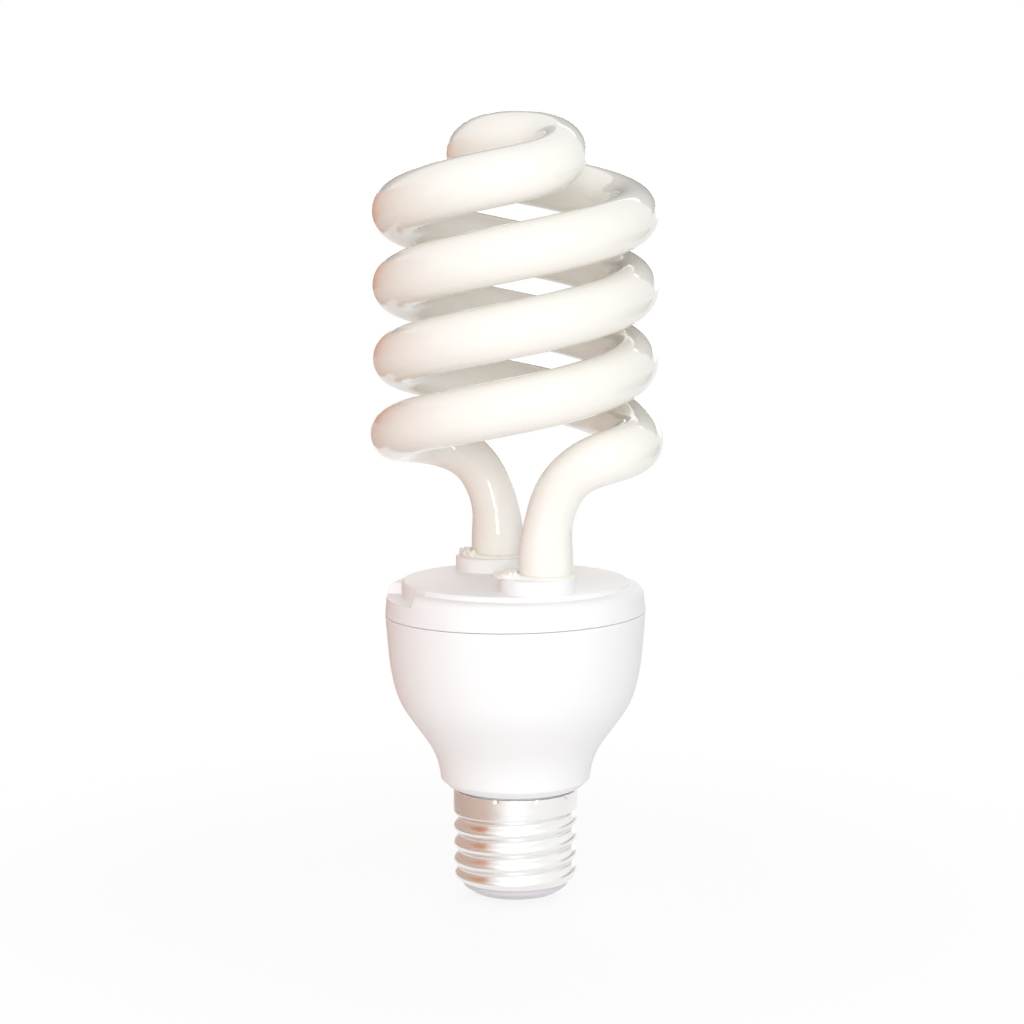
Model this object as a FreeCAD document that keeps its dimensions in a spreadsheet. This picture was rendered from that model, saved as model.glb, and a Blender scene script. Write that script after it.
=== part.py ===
import FreeCAD, Part
import math
import os

import Sketcher
from FreeCAD import Placement, Rotation, Vector

# Spiral energy saving lamp on a 27 mm screw cap, modelled as its separate pieces, in millimetres.
# The origin is the middle of the end contact, +Z runs up the lamp's axis and the lamp is seen along +Y.

doc = FreeCAD.newDocument("spiral_lamp")
dim = doc.addObject("Spreadsheet::Sheet", "dim")

# Driving dimensions: lengths in millimetres, angles in degrees.
DIMENSIONS = {
    # Glass tube: two strands of one helix, joined over the top and standing on two legs.
    "tube_radius": 5.7,
    "coil_radius": 24.1,
    "coil_lead": 30.6,
    "coil_rise": 31.15,
    "coil_start": 15.6,
    "coil_end": 584,
    "leg_front_x": 6.2,
    "leg_rear_x": 3.8,
    "leg_drop": 7.9,
    "leg_bend_rise": 3.6,
    "leg_handle": 15.4,
    "flare_x": 18.1,
    "flare_out": 0.5,
    "flare_drop": 1.75,
    "coil_handle": 17.3,
    "bridge_handle": 12.5,
    "bridge_low_x": 9.9,
    "bridge_inset": 2.9,
    "bridge_low_rise": 4.8,
    "bridge_top_x": 9.95,
    "bridge_top_y": 2,
    "bridge_top_rise": 11.6,
    "exhaust_radius": 1.8,
    "exhaust_length": 3,
    # Cover over the ballast, with a collar round each leg.
    "shoulder_width": 3.2,
    "disc_rise": 1.1,
    "disc_thickness": 1.8,
    "shoulder_rise": 6.3,
    "shoulder_corner": 2,
    "cover_radius": 27.2,
    "cover_flare": 0.35,
    "cover_wall": 1.6,
    "cover_skirt": 4,
    "cover_clearance": 0.15,
    "seam_gap": 0.35,
    "collar_wall": 0.75,
    "collar_margin": 0.9,
    "collar_height": 3,
    "leg_clearance": 0.25,
    "cement_width": 0.9,
    "cement_height": 1.1,
    "cement_gap": 0.05,
    "notch_azimuth": 191.5,
    "notch_angle": 33,
    "notch_depth": 2.3,
    # Bell-shaped ballast housing.
    "seam_rise": 9.5,
    "taper_inset": 0.65,
    "taper_drop": 7.7,
    "brow_inset": 1.2,
    "brow_rise": 6.3,
    "slope_radius": 22.8,
    "slope_rise": 5.3,
    "waist_radius": 19,
    "waist_rise": 8.55,
    "neck_radius": 15.9,
    "neck_rise": 1.55,
    "nose_overhang": 0.95,
    "upper_wall": 1.7,
    "lower_wall": 2.2,
    "spigot_length": 5.1,
    "spigot_wall": 1.3,
    # Screw cap.
    "skirt_radius": 13.2,
    "skirt_length": 5.45,
    "cap_gap": 0.25,
    "cap_wall": 0.5,
    "cap_clearance": 0.1,
    "thread_radius": 13.05,
    "thread_length": 13.5,
    "lip_radius": 11,
    "lip_height": 3.1,
    "lip_curl": 2,
    "insulator_foot": 9.45,
    "insulator_foot_rise": 0.5,
    "insulator_rim": 0.1,
    "insulator_clearance": 0.2,
    "contact_radius": 4.7,
    "contact_face": 3.8,
    "contact_height": 0.9,
    # Circuit board and what stands on it.
    "board_rise": 5.5,
    "board_thickness": 1.6,
    "board_gap": 0.3,
    "part_gap": 1.6,
    "can_radius": 6.25,
    "can_length": 21,
    "can_groove": 0.4,
    "can_groove_height": 1.2,
    "choke_width": 16,
    "choke_depth": 6,
    "choke_height": 12.5,
    "choke_leg": 2.8,
    "choke_yoke": 2,
    "choke_centre": 4,
    "choke_fit": 0.2,
    "bobbin_wall": 0.6,
    "winding_thickness": 1.9,
    "drive_radius": 4.8,
    "drive_bore": 2.4,
    "drive_height": 4.5,
    "drive_wire": 0.6,
    "drive_turn_width": 2,
    "transistor_width": 8,
    "transistor_depth": 3.2,
    "transistor_height": 11,
    "transistor_hole": 1.6,
    "transistor_gap": 1,
    "film_depth": 4.4,
    "film_width": 9,
    "film_height": 8.5,
    "film_corner": 1,
    "small_film_gap": 2.2,
    "small_film_width": 7,
    "drum_radius": 3.9,
    "drum_core": 2.8,
    "drum_height": 9,
    "drum_flange": 1,
    "diode_radius": 1.35,
    "diode_length": 5.2,
    "resistor_radius": 1.2,
    "resistor_length": 6.3,
    "diac_radius": 0.95,
    "diac_length": 4.2,
    "small_part_gap": 2.9,
    "lead_radius": 0.35,
    "lead_bend": 1.2,
    "lead_gap": 0.1,
    "fuse_radius": 2.1,
    "fuse_length": 9,
    "fuse_rise": 8.8,
    "post_width": 0.9,
    "post_overlap": 0.7,
    "post_reach": 7,
    "filament_spread": 3,
    "filament_drop": 2.6,
}

# Azimuths of the parts round the middle of the board, in degrees from +X.
CHOKE_AZIMUTH = 90
RESONANT_AZIMUTH = 180
DRIVE_AZIMUTH = 0
DRUM_AZIMUTH = 270
TRANSISTOR_AZIMUTHS = {"transistor_upper": 41, "transistor_lower": 319}
SMALL_FILM_AZIMUTHS = {"blocking_capacitor": 230, "filter_capacitor": 147}
DIODE_AZIMUTHS = (255, 265, 275, 285)
RESISTOR_AZIMUTHS = (296, 205, 196)
DIAC_AZIMUTH = 187
FUSE_LEAD_AZIMUTH = 318
NEUTRAL_AZIMUTH = 140
DRIVE_TURN_AZIMUTHS = (60, 180, 300)

# Sizes that follow from the driving ones: heights are stacked from the cap up, radii of the housing are
# stepped in from the cover, and each ring of small parts keeps its gap to the housing's inner wall.
DERIVED = {
    "thread_end": "lip_height + lip_curl",
    "skirt_height": "thread_end + thread_length",
    "insulator_height": "thread_end + cap_wall + insulator_clearance + insulator_rim",
    "nose_height": "skirt_height + skirt_length + cap_gap",
    "neck_height": "nose_height + neck_rise",
    "waist_height": "neck_height + waist_rise",
    "slope_height": "waist_height + slope_rise",
    "brow_height": "slope_height + brow_rise",
    "board_height": "brow_height + board_rise",
    "seam_height": "board_height + seam_rise",
    "taper_height": "seam_height - taper_drop",
    "shoulder_height": "seam_height + shoulder_rise",
    "disc_height": "shoulder_height + disc_rise",
    "notch_height": "shoulder_height - notch_depth",
    "leg_end_height": "disc_height - leg_drop",
    "leg_bend_height": "disc_height + collar_height + leg_bend_rise",
    "coil_height": "disc_height + coil_rise",
    "rim_radius": "cover_radius + cover_flare",
    "taper_radius": "rim_radius - taper_inset",
    "brow_radius": "taper_radius - brow_inset",
    "nose_radius": "skirt_radius + nose_overhang",
    "disc_radius": "cover_radius - shoulder_width",
    "collar_radius": "tube_radius + leg_clearance + (leg_front_x - leg_rear_x) / 2 + collar_wall",
    "leg_depth": "disc_radius - collar_radius - collar_margin",
    "cement_radius": "tube_radius + cement_width",
    "transistor_ring": "slope_radius - lower_wall - transistor_gap - transistor_depth / 2",
    "small_film_ring": "slope_radius - lower_wall - small_film_gap - film_depth / 2",
    "small_part_ring": "brow_radius - lower_wall - small_part_gap",
    "fuse_height": "insulator_height + fuse_rise",
    "post_length": "leg_end_height - filament_drop + post_overlap - board_height - board_thickness",
}
FORMULAS = {alias: f"={formula}" for alias, formula in DERIVED.items()}

for row, (alias, content) in enumerate({**DIMENSIONS, **FORMULAS}.items(), start=1):
    dim.set(f"A{row}", alias.replace("_", " "))
    dim.set(f"B{row}", str(content))
    dim.setAlias(f"B{row}", alias)
doc.recompute()

# Lengths that several pieces share, as expressions over the sheet.
HOUSING_BORE = "(dim.taper_radius - dim.upper_wall)"
BOARD_RADIUS = f"({HOUSING_BORE} - dim.board_gap)"
BOARD_TOP = "(dim.board_height + dim.board_thickness)"
COLLAR_TOP = "(dim.disc_height + dim.collar_height)"
COLLAR_X = "((dim.leg_front_x + dim.leg_rear_x) / 2)"
CAP_TOP = "(dim.nose_height - dim.cap_gap)"
CAP_BORE = "(dim.thread_radius - dim.cap_wall)"
SPIGOT_RADIUS = "(dim.skirt_radius - dim.cap_wall - dim.cap_clearance)"
SPIGOT_BORE = f"({SPIGOT_RADIUS} - dim.spigot_wall)"
SPIGOT_END = "(dim.nose_height - dim.spigot_length)"
LEG_HOLE = "(dim.tube_radius + dim.leg_clearance)"
RING_START = "(dim.can_radius + dim.part_gap)"

# An arc flatter than this is a line; a swept volume may differ by this share from section times length.
STRAIGHT_LIMIT = 1e-9
VOLUME_TOLERANCE = 1e-4

pieces = {}


def measure(expression):
    """Return the number that an expression over the sheet stands for."""
    return float(doc.dim.evalExpression(expression))


def bind(obj, **expressions):
    """Tie properties of an object to expressions over the sheet."""
    for name, expression in expressions.items():
        obj.setExpression(name, expression)
    return obj


def place(obj, x="0", y="0", z="0"):
    """Tie an object's position to expressions over the sheet."""
    for axis, expression in zip("xyz", (x, y, z)):
        obj.setExpression(f"Placement.Base.{axis}", expression)
    return obj


def swing(obj, azimuth):
    """Turn an object about the lamp's axis."""
    obj.Placement = Placement(Vector(), Rotation(Vector(0, 0, 1), azimuth))
    return obj


def keep(name, obj):
    """Name an object as one of the lamp's pieces."""
    obj.Label = name
    pieces[name] = obj
    return obj


def cylinder(name, radius, height, x="0", y="0", z="0"):
    """Make an upright cylinder."""
    obj = bind(doc.addObject("Part::Cylinder", name), Radius=radius, Height=height)
    return place(obj, x, y, z)


def block(name, length, width, height, x, y, z):
    """Make a box by its sizes and the middle of its lower face."""
    obj = bind(doc.addObject("Part::Box", name), Length=length, Width=width, Height=height)
    return place(obj, f"{x} - ({length}) / 2", f"{y} - ({width}) / 2", z)


def cut(name, base, tool):
    """Take one solid from another."""
    obj = doc.addObject("Part::Cut", name)
    obj.Base = base
    obj.Tool = tool
    return obj


def fuse(name, *solids):
    """Join solids into one."""
    obj = doc.addObject("Part::MultiFuse", name)
    obj.Shapes = list(solids)
    return obj


def group(name, *solids):
    """Hold equal solids as one piece."""
    obj = doc.addObject("Part::Compound", name)
    obj.Links = list(solids)
    return obj


def origin_plane(body, role):
    """Find one of a body's origin planes."""
    return next(plane for plane in body.Origin.OriginFeatures if plane.Role == role)


def pin_point(sketch, geometry, end, x, y):
    """Fix a sketch point at a radius and a height given as expressions."""
    for kind, expression, axis in (("DistanceX", x, -2), ("DistanceY", y, -1)):
        if expression == "0":
            sketch.addConstraint(Sketcher.Constraint("PointOnObject", geometry, end, axis))
        else:
            size = measure(expression)
            row = sketch.addConstraint(Sketcher.Constraint(kind, -1, 1, geometry, end, size))
            sketch.setExpression(f"Constraints[{row}]", expression)


def outline(body, name, corners, azimuth=0):
    """Sketch a closed outline of (radius, height, kind) corners in an upright plane of a body.

    The kind says how the outline goes on from its corner: "line", or "arc" for an arc that
    leaves in the direction of the stretch before it.
    """
    sketch = body.newObject("Sketcher::SketchObject", name)
    sketch.AttachmentSupport = [(origin_plane(body, "XZ_Plane"), "")]
    sketch.MapMode = "FlatFace"
    sketch.AttachmentOffset = Placement(Vector(), Rotation(Vector(0, 1, 0), azimuth))
    points = [Vector(measure(x), measure(y), 0) for x, y, kind in corners]
    heading = Vector()
    entries = []
    for index, (x, y, kind) in enumerate(corners):
        start = points[index]
        stop = points[(index + 1) % len(points)]
        if kind == "arc":
            curve = tangent_arc(start, heading, stop)
        else:
            curve = Part.LineSegment(start, stop)
        heading = curve.tangent(curve.LastParameter)[0]
        sketch.addGeometry(curve, False)
        # A sketch stores every arc counter-clockwise, so the outline may enter it at its second end.
        entries.append(min((1, 2), key=lambda end: (sketch.getPoint(index, end) - start).Length))
    for index, (x, y, kind) in enumerate(corners):
        before = index - 1 if index else len(corners) - 1
        joint = "Tangent" if kind == "arc" else "Coincident"
        sketch.addConstraint(Sketcher.Constraint(joint, before, 3 - entries[before], index, entries[index]))
        pin_point(sketch, index, entries[index], x, y)
    return sketch


def turned(name, corners):
    """Make a body by turning an outline about the lamp's axis."""
    body = doc.addObject("PartDesign::Body", f"{name}_body")
    sketch = outline(body, f"{name}_outline", corners)
    feature = body.newObject("PartDesign::Revolution", f"{name}_turned")
    feature.Profile = sketch
    feature.ReferenceAxis = (sketch, ["V_Axis"])
    feature.Angle = 360
    return body


def tangent_arc(start, heading, stop):
    """Make the arc that leaves a point in a direction and ends at another point."""
    chord = stop - start
    inward = chord - heading * chord.dot(heading)
    if inward.Length < STRAIGHT_LIMIT:
        return Part.LineSegment(start, stop)
    inward.normalize()
    radius = chord.dot(chord) / (2 * chord.dot(inward))
    centre = start + inward * radius
    outward = ((start + stop) * 0.5 - centre).normalize()
    return Part.Arc(start, centre + outward * radius, stop)


def swept(name, edges, section_radius):
    """Sweep a circle along a path of tangent edges and compare the volume with section times length."""
    path = doc.addObject("Part::Feature", f"{name}_path")
    path.Shape = Part.Wire(edges)
    section = bind(doc.addObject("Part::Circle", f"{name}_section"), Radius=section_radius)
    first = edges[0]
    start = first.valueAt(first.FirstParameter)
    heading = first.tangentAt(first.FirstParameter)
    section.Placement = Placement(start, Rotation(Vector(0, 0, 1), heading))
    sweep = doc.addObject("Part::Sweep", name)
    sweep.Sections = [section]
    sweep.Spine = (path, [f"Edge{number + 1}" for number in range(len(edges))])
    sweep.Solid = True
    doc.recompute()
    expected = math.pi * measure(section_radius) ** 2 * path.Shape.Length
    if abs(sweep.Shape.Volume - expected) > expected * VOLUME_TOLERANCE:
        raise RuntimeError(f"{name} doesn't fill its path")
    return sweep


def bent_wire(points, bend):
    """Join points by straight runs with a round bend at each corner between them."""
    edges = []
    start = points[0]
    for before, corner, after in zip(points, points[1:], points[2:]):
        come = (corner - before).normalize()
        leave = (after - corner).normalize()
        reach = bend * math.tan(come.getAngle(leave) / 2)
        bend_start = corner - come * reach
        bend_stop = corner + leave * reach
        edges.append(Part.LineSegment(start, bend_start).toShape())
        edges.append(tangent_arc(bend_start, come, bend_stop).toShape())
        start = bend_stop
    edges.append(Part.LineSegment(start, points[-1]).toShape())
    return edges


# Discharge tube: stations of a point and a direction, joined by pairs of tangent arcs.

COIL_STEP = 60
LEG_STEPS = 3
BRIDGE_STEPS = 8


def coil_point(angle, side):
    """Return the middle of a strand's tube; the two strands lie on opposite sides of the axis."""
    turn = math.radians(angle)
    radius = side * dim.coil_radius
    height = dim.coil_height + dim.coil_lead * angle / 360
    return Vector(radius * math.cos(turn), radius * math.sin(turn), height)


def coil_heading(angle, side):
    """Return the direction in which a strand rises."""
    turn = math.radians(angle)
    radius = side * dim.coil_radius
    return Vector(-radius * math.sin(turn), radius * math.cos(turn), dim.coil_lead / math.tau).normalize()


def pole_curve(poles):
    """Make a smooth curve from its control points."""
    spans = len(poles) - 3
    repeats = [4] + [1] * (spans - 1) + [4]
    knots = [number / spans for number in range(spans + 1)]
    curve = Part.BSplineCurve()
    curve.buildFromPolesMultsKnots(poles, repeats, knots, False, 3)
    return curve


def curve_stations(curve, steps):
    """Return points and directions along a curve."""
    parameters = [number / steps for number in range(steps + 1)]
    return [(curve.value(place_on), curve.tangent(place_on)[0]) for place_on in parameters]


def strand_stations(foot, side):
    """Return the stations of one strand, from the top of its leg to the end of its coil."""
    bend = Vector(foot.x, foot.y, dim.leg_bend_height)
    coil_foot = coil_point(dim.coil_start, side)
    flare = Vector(side * dim.flare_x, -side * (dim.coil_radius + dim.flare_out),
                   dim.coil_height - dim.flare_drop)
    leg = pole_curve([
        bend,
        bend + Vector(0, 0, dim.leg_handle),
        flare,
        coil_foot - coil_heading(dim.coil_start, side) * dim.coil_handle,
        coil_foot,
    ])
    steps = math.ceil((dim.coil_end - dim.coil_start) / COIL_STEP)
    angles = [dim.coil_start + (dim.coil_end - dim.coil_start) * number / steps
              for number in range(1, steps + 1)]
    coil = [(coil_point(angle, side), coil_heading(angle, side)) for angle in angles]
    return curve_stations(leg, LEG_STEPS) + coil


def bridge_stations():
    """Return the stations of the S-shaped bridge between the two strands."""
    end = coil_point(dim.coil_end, 1)
    low_y = dim.coil_radius - dim.bridge_inset
    half = [
        end,
        end + coil_heading(dim.coil_end, 1) * dim.bridge_handle,
        Vector(dim.bridge_low_x, -low_y, end.z + dim.bridge_low_rise),
        Vector(dim.bridge_top_x, -dim.bridge_top_y, end.z + dim.bridge_top_rise),
    ]
    return curve_stations(pole_curve(half + [half_turn(pole) for pole in reversed(half)]), BRIDGE_STEPS)


def half_turn(point):
    """Turn a point half round the lamp's axis."""
    return Vector(-point.x, -point.y, point.z)


def arc_pair(station, following):
    """Join two stations by two arcs that meet in one direction."""
    (start, leave), (stop, arrive) = station, following
    chord = stop - start
    along = chord.dot(leave + arrive)
    spread = 2 * (1 - leave.dot(arrive))
    reach = (math.sqrt(along ** 2 + spread * chord.dot(chord)) - along) / spread
    middle = (start + leave * reach + stop - arrive * reach) * 0.5
    first = tangent_arc(start, leave, middle)
    second = tangent_arc(middle, first.tangent(first.LastParameter)[0], stop)
    return [first.toShape(), second.toShape()]


def tube_edges():
    """Return the tube's path from the foot of the front leg to the foot of the rear leg."""
    front_foot = Vector(dim.leg_front_x, -dim.leg_depth, dim.leg_end_height)
    rear_foot = Vector(-dim.leg_rear_x, dim.leg_depth, dim.leg_end_height)
    front = strand_stations(front_foot, 1)
    rear = [(point, heading * -1) for point, heading in reversed(strand_stations(rear_foot, -1))]
    stations = front + bridge_stations()[1:] + rear[1:]
    edges = [Part.LineSegment(front_foot, stations[0][0]).toShape()]
    for station, following in zip(stations, stations[1:]):
        edges += arc_pair(station, following)
    edges.append(Part.LineSegment(stations[-1][0], rear_foot).toShape())
    return edges


LEGS = {"front": ("dim.leg_front_x", "-dim.leg_depth"), "rear": ("-dim.leg_rear_x", "dim.leg_depth")}
glass = swept("glass", tube_edges(), "dim.tube_radius")
tips = [cylinder(f"{side}_exhaust_tip", "dim.exhaust_radius", "2 * dim.exhaust_length", x, y,
                 "dim.leg_end_height - dim.exhaust_length") for side, (x, y) in LEGS.items()]
keep("discharge_tube", fuse("discharge_tube", glass, *tips))

# Cement beads on the collars, one round each leg.
for side, (x, y) in LEGS.items():
    bead = bind(doc.addObject("Part::Cone", f"{side}_bead"), Radius1="dim.cement_radius",
                Radius2="dim.tube_radius + dim.leg_clearance", Height="dim.cement_height")
    place(bead, x, y, COLLAR_TOP)
    hole = cylinder(f"{side}_bead_hole", "dim.tube_radius + dim.cement_gap", "dim.cement_height",
                    x, y, COLLAR_TOP)
    keep(f"{side}_leg_cement", cut(f"{side}_leg_cement", bead, hole))

# Cover: a turned cap with a skirt in the housing, two collars, two leg holes and a notch in its shoulder.
COVER_SKIRT = f"({HOUSING_BORE} - dim.cover_clearance)"
COVER_FOOT = "(dim.seam_height + dim.seam_gap)"
cover = turned("cover", [
    ("0", "dim.disc_height", "line"),
    ("dim.disc_radius", "dim.disc_height", "line"),
    ("dim.disc_radius", "dim.shoulder_height", "line"),
    ("dim.cover_radius - dim.shoulder_corner", "dim.shoulder_height", "arc"),
    ("dim.cover_radius", "dim.shoulder_height - dim.shoulder_corner", "line"),
    ("dim.cover_radius + dim.cover_flare", COVER_FOOT, "line"),
    (COVER_SKIRT, COVER_FOOT, "line"),
    (COVER_SKIRT, "dim.seam_height - dim.cover_skirt", "line"),
    (f"{COVER_SKIRT} - dim.cover_wall", "dim.seam_height - dim.cover_skirt", "line"),
    (f"{COVER_SKIRT} - dim.cover_wall", "dim.disc_height - dim.disc_thickness", "line"),
    ("0", "dim.disc_height - dim.disc_thickness", "line"),
])


def leg_circles(name, radius, x_front, x_rear):
    """Sketch a circle round each leg on the top of the cover's disc."""
    sketch = cover.newObject("Sketcher::SketchObject", name)
    sketch.AttachmentSupport = [(origin_plane(cover, "XY_Plane"), "")]
    sketch.MapMode = "FlatFace"
    sketch.setExpression("AttachmentOffset.Base.z", "dim.disc_height")
    for number, (x, y) in enumerate(((x_front, "-dim.leg_depth"), (x_rear, "dim.leg_depth"))):
        centre = Vector(measure(x), measure(y), 0)
        sketch.addGeometry(Part.Circle(centre, Vector(0, 0, 1), measure(radius)), False)
        pin_point(sketch, number, 3, x, y)
        row = sketch.addConstraint(Sketcher.Constraint("Radius", number, measure(radius)))
        sketch.setExpression(f"Constraints[{row}]", radius)
    return sketch


collars = cover.newObject("PartDesign::Pad", "collars")
collars.Profile = leg_circles("collar_circles", "dim.collar_radius", COLLAR_X, f"-{COLLAR_X}")
bind(collars, Length="dim.collar_height")
holes = cover.newObject("PartDesign::Pocket", "leg_holes")
holes.Profile = leg_circles("leg_hole_circles", LEG_HOLE, "dim.leg_front_x", "-dim.leg_rear_x")
holes.Type = "ThroughAll"
holes.Midplane = True
notch = cover.newObject("PartDesign::Groove", "notch")
notch.Profile = outline(cover, "notch_outline", [
    ("dim.disc_radius", "dim.notch_height", "line"),
    ("dim.cover_radius + dim.shoulder_corner", "dim.notch_height", "line"),
    ("dim.cover_radius + dim.shoulder_corner", "dim.disc_height", "line"),
    ("dim.disc_radius", "dim.disc_height", "line"),
], azimuth=dim.notch_azimuth)
notch.ReferenceAxis = (notch.Profile[0], ["V_Axis"])
notch.Midplane = True
bind(notch, Angle="dim.notch_angle")
keep("tube_cover", cover)

# Ballast housing: a thin bell with a bore for the cover, a ledge for the board and a spigot for the cap.
keep("ballast_housing", turned("housing", [
    (HOUSING_BORE, "dim.seam_height", "line"),
    ("dim.rim_radius", "dim.seam_height", "line"),
    ("dim.taper_radius", "dim.taper_height", "arc"),
    ("dim.brow_radius", "dim.brow_height", "arc"),
    ("dim.slope_radius", "dim.slope_height", "line"),
    ("dim.waist_radius", "dim.waist_height", "arc"),
    ("dim.neck_radius", "dim.neck_height", "line"),
    ("dim.nose_radius", "dim.nose_height", "line"),
    (SPIGOT_RADIUS, "dim.nose_height", "line"),
    (SPIGOT_RADIUS, SPIGOT_END, "line"),
    (SPIGOT_BORE, SPIGOT_END, "line"),
    (SPIGOT_BORE, "dim.neck_height", "line"),
    ("dim.neck_radius - dim.lower_wall", "dim.neck_height + dim.lower_wall", "line"),
    ("dim.waist_radius - dim.lower_wall", "dim.waist_height", "line"),
    ("dim.slope_radius - dim.lower_wall", "dim.slope_height", "line"),
    ("dim.brow_radius - dim.lower_wall", "dim.brow_height", "line"),
    ("dim.brow_radius - dim.lower_wall", "dim.board_height", "line"),
    (HOUSING_BORE, "dim.board_height", "line"),
]))

# Screw cap: a thin shell with a plain skirt, a sleeve of the thread's size and a rolled-in lower edge.
keep("screw_cap", turned("cap", [
    ("dim.skirt_radius - dim.cap_wall", CAP_TOP, "line"),
    ("dim.skirt_radius", CAP_TOP, "line"),
    ("dim.skirt_radius", "dim.skirt_height", "line"),
    ("dim.thread_radius", "dim.skirt_height - dim.cap_wall", "line"),
    ("dim.thread_radius", "dim.thread_end", "arc"),
    ("dim.lip_radius", "dim.lip_height", "line"),
    ("dim.lip_radius", "dim.lip_height + dim.cap_wall", "line"),
    (CAP_BORE, "dim.thread_end + dim.cap_wall", "line"),
    (CAP_BORE, "dim.skirt_height - dim.cap_wall", "line"),
    ("dim.skirt_radius - dim.cap_wall", "dim.skirt_height", "line"),
]))
INSULATOR_RADIUS = f"({CAP_BORE} - dim.insulator_clearance)"
INSULATOR_LIP = "(dim.lip_radius - dim.insulator_clearance)"
keep("cap_insulator", turned("insulator", [
    ("dim.lead_radius + dim.lead_gap", "dim.contact_height", "line"),
    ("dim.contact_radius", "dim.contact_height", "line"),
    ("dim.insulator_foot", "dim.contact_height + dim.insulator_foot_rise", "line"),
    (INSULATOR_LIP, "dim.lip_height", "line"),
    (INSULATOR_LIP, "dim.lip_height + dim.cap_wall + dim.insulator_clearance", "line"),
    (INSULATOR_RADIUS, "dim.thread_end + dim.cap_wall + dim.insulator_clearance", "line"),
    (INSULATOR_RADIUS, "dim.insulator_height", "line"),
    ("dim.lead_radius + dim.lead_gap", "dim.insulator_height", "line"),
]))
keep("centre_contact", turned("contact", [
    ("0", "0", "line"),
    ("dim.contact_face", "0", "line"),
    ("dim.contact_radius", "dim.contact_height / 2", "line"),
    ("dim.contact_radius", "dim.contact_height", "line"),
    ("0", "dim.contact_height", "line"),
]))

# Circuit board on its ledge, and the smoothing capacitor that hangs from it into the neck.
keep("ballast_board", cylinder("ballast_board", BOARD_RADIUS, "dim.board_thickness", z="dim.board_height"))
CAN_END = "dim.board_height - dim.can_length"
GROOVE_HEIGHT = "dim.board_height - dim.can_groove_height"
keep("smoothing_capacitor", turned("can", [
    ("0", CAN_END, "line"),
    ("dim.can_radius - dim.can_groove", CAN_END, "line"),
    ("dim.can_radius", f"{CAN_END} + dim.can_groove", "line"),
    ("dim.can_radius", f"{GROOVE_HEIGHT} - dim.can_groove", "line"),
    ("dim.can_radius - dim.can_groove", GROOVE_HEIGHT, "line"),
    ("dim.can_radius", f"{GROOVE_HEIGHT} + dim.can_groove", "line"),
    ("dim.can_radius", "dim.board_height", "line"),
    ("0", "dim.board_height", "line"),
]))


def hanging(name, length, width, height, inner_radius):
    """Make a box under the board, its near face at a radius on the +X side."""
    return block(name, length, width, height, f"{inner_radius} + ({length}) / 2", "0",
                 f"dim.board_height - ({height})")


# Ballast choke: a three-legged core, a bobbin on its middle leg and the winding on the bobbin.
WINDOW_WIDTH = "((dim.choke_width - dim.choke_centre) / 2 - dim.choke_leg)"
WINDOW_HEIGHT = "(dim.choke_height - 2 * dim.choke_yoke)"
WINDING_REACH = "(dim.choke_fit + dim.bobbin_wall + dim.winding_thickness)"
CHOKE_MIDDLE = f"({RING_START} + {WINDING_REACH} + dim.choke_depth / 2)"
CHOKE_FOOT = "dim.board_height - dim.choke_height"
WINDOW_FOOT = f"{CHOKE_FOOT} + dim.choke_yoke"
core_block = block("core_block", "dim.choke_depth", "dim.choke_width", "dim.choke_height",
                   CHOKE_MIDDLE, "0", CHOKE_FOOT)
windows = [block(f"core_window_{name}", "2 * dim.choke_depth", WINDOW_WIDTH, WINDOW_HEIGHT, CHOKE_MIDDLE,
                 f"{sign} (dim.choke_centre + {WINDOW_WIDTH}) / 2", WINDOW_FOOT)
           for name, sign in (("left", "-"), ("right", "+"))]
keep("choke_core", swing(cut("choke_core", core_block, fuse("core_windows", *windows)), CHOKE_AZIMUTH))


def choke_sleeve(name, inner, outer, height, foot):
    """Make a square sleeve round the middle leg of the choke's core."""
    blocks = [block(f"{name}_{part}", f"dim.choke_depth + 2 * ({reach})", f"dim.choke_centre + 2 * ({reach})",
                    height, CHOKE_MIDDLE, "0", foot)
              for part, reach in (("outside", outer), ("inside", inner))]
    return cut(f"{name}_sleeve", *blocks)


BOBBIN_OUTER = "(dim.choke_fit + dim.bobbin_wall)"
BOBBIN_FOOT = f"{WINDOW_FOOT} + dim.choke_fit"
BOBBIN_HEIGHT = f"({WINDOW_HEIGHT} - 2 * dim.choke_fit)"
tube_sleeve = choke_sleeve("bobbin_tube", "dim.choke_fit", BOBBIN_OUTER, BOBBIN_HEIGHT, BOBBIN_FOOT)
low_flange = choke_sleeve("bobbin_low", "dim.choke_fit", WINDING_REACH, "dim.bobbin_wall", BOBBIN_FOOT)
high_flange = choke_sleeve("bobbin_high", "dim.choke_fit", WINDING_REACH, "dim.bobbin_wall",
                           f"{BOBBIN_FOOT} + {BOBBIN_HEIGHT} - dim.bobbin_wall")
keep("choke_bobbin", swing(fuse("choke_bobbin", tube_sleeve, low_flange, high_flange), CHOKE_AZIMUTH))
winding = choke_sleeve("winding", BOBBIN_OUTER, f"{WINDING_REACH} - dim.choke_fit",
                       f"{BOBBIN_HEIGHT} - 2 * dim.bobbin_wall", f"{BOBBIN_FOOT} + dim.bobbin_wall")
keep("choke_winding", swing(winding, CHOKE_AZIMUTH))

# Drive transformer: a flat ring with three short windings, a wire's thickness under the board.
DRIVE_X = f"({RING_START} + dim.drive_wire + dim.drive_radius)"
DRIVE_FOOT = "dim.board_height - dim.drive_wire - dim.drive_height"
ring_outside = cylinder("drive_outside", "dim.drive_radius", "dim.drive_height", DRIVE_X, "0", DRIVE_FOOT)
ring_bore = cylinder("drive_bore_hole", "dim.drive_bore", "dim.drive_height", DRIVE_X, "0", DRIVE_FOOT)
keep("drive_core", swing(cut("drive_core", ring_outside, ring_bore), DRIVE_AZIMUTH))


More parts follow.
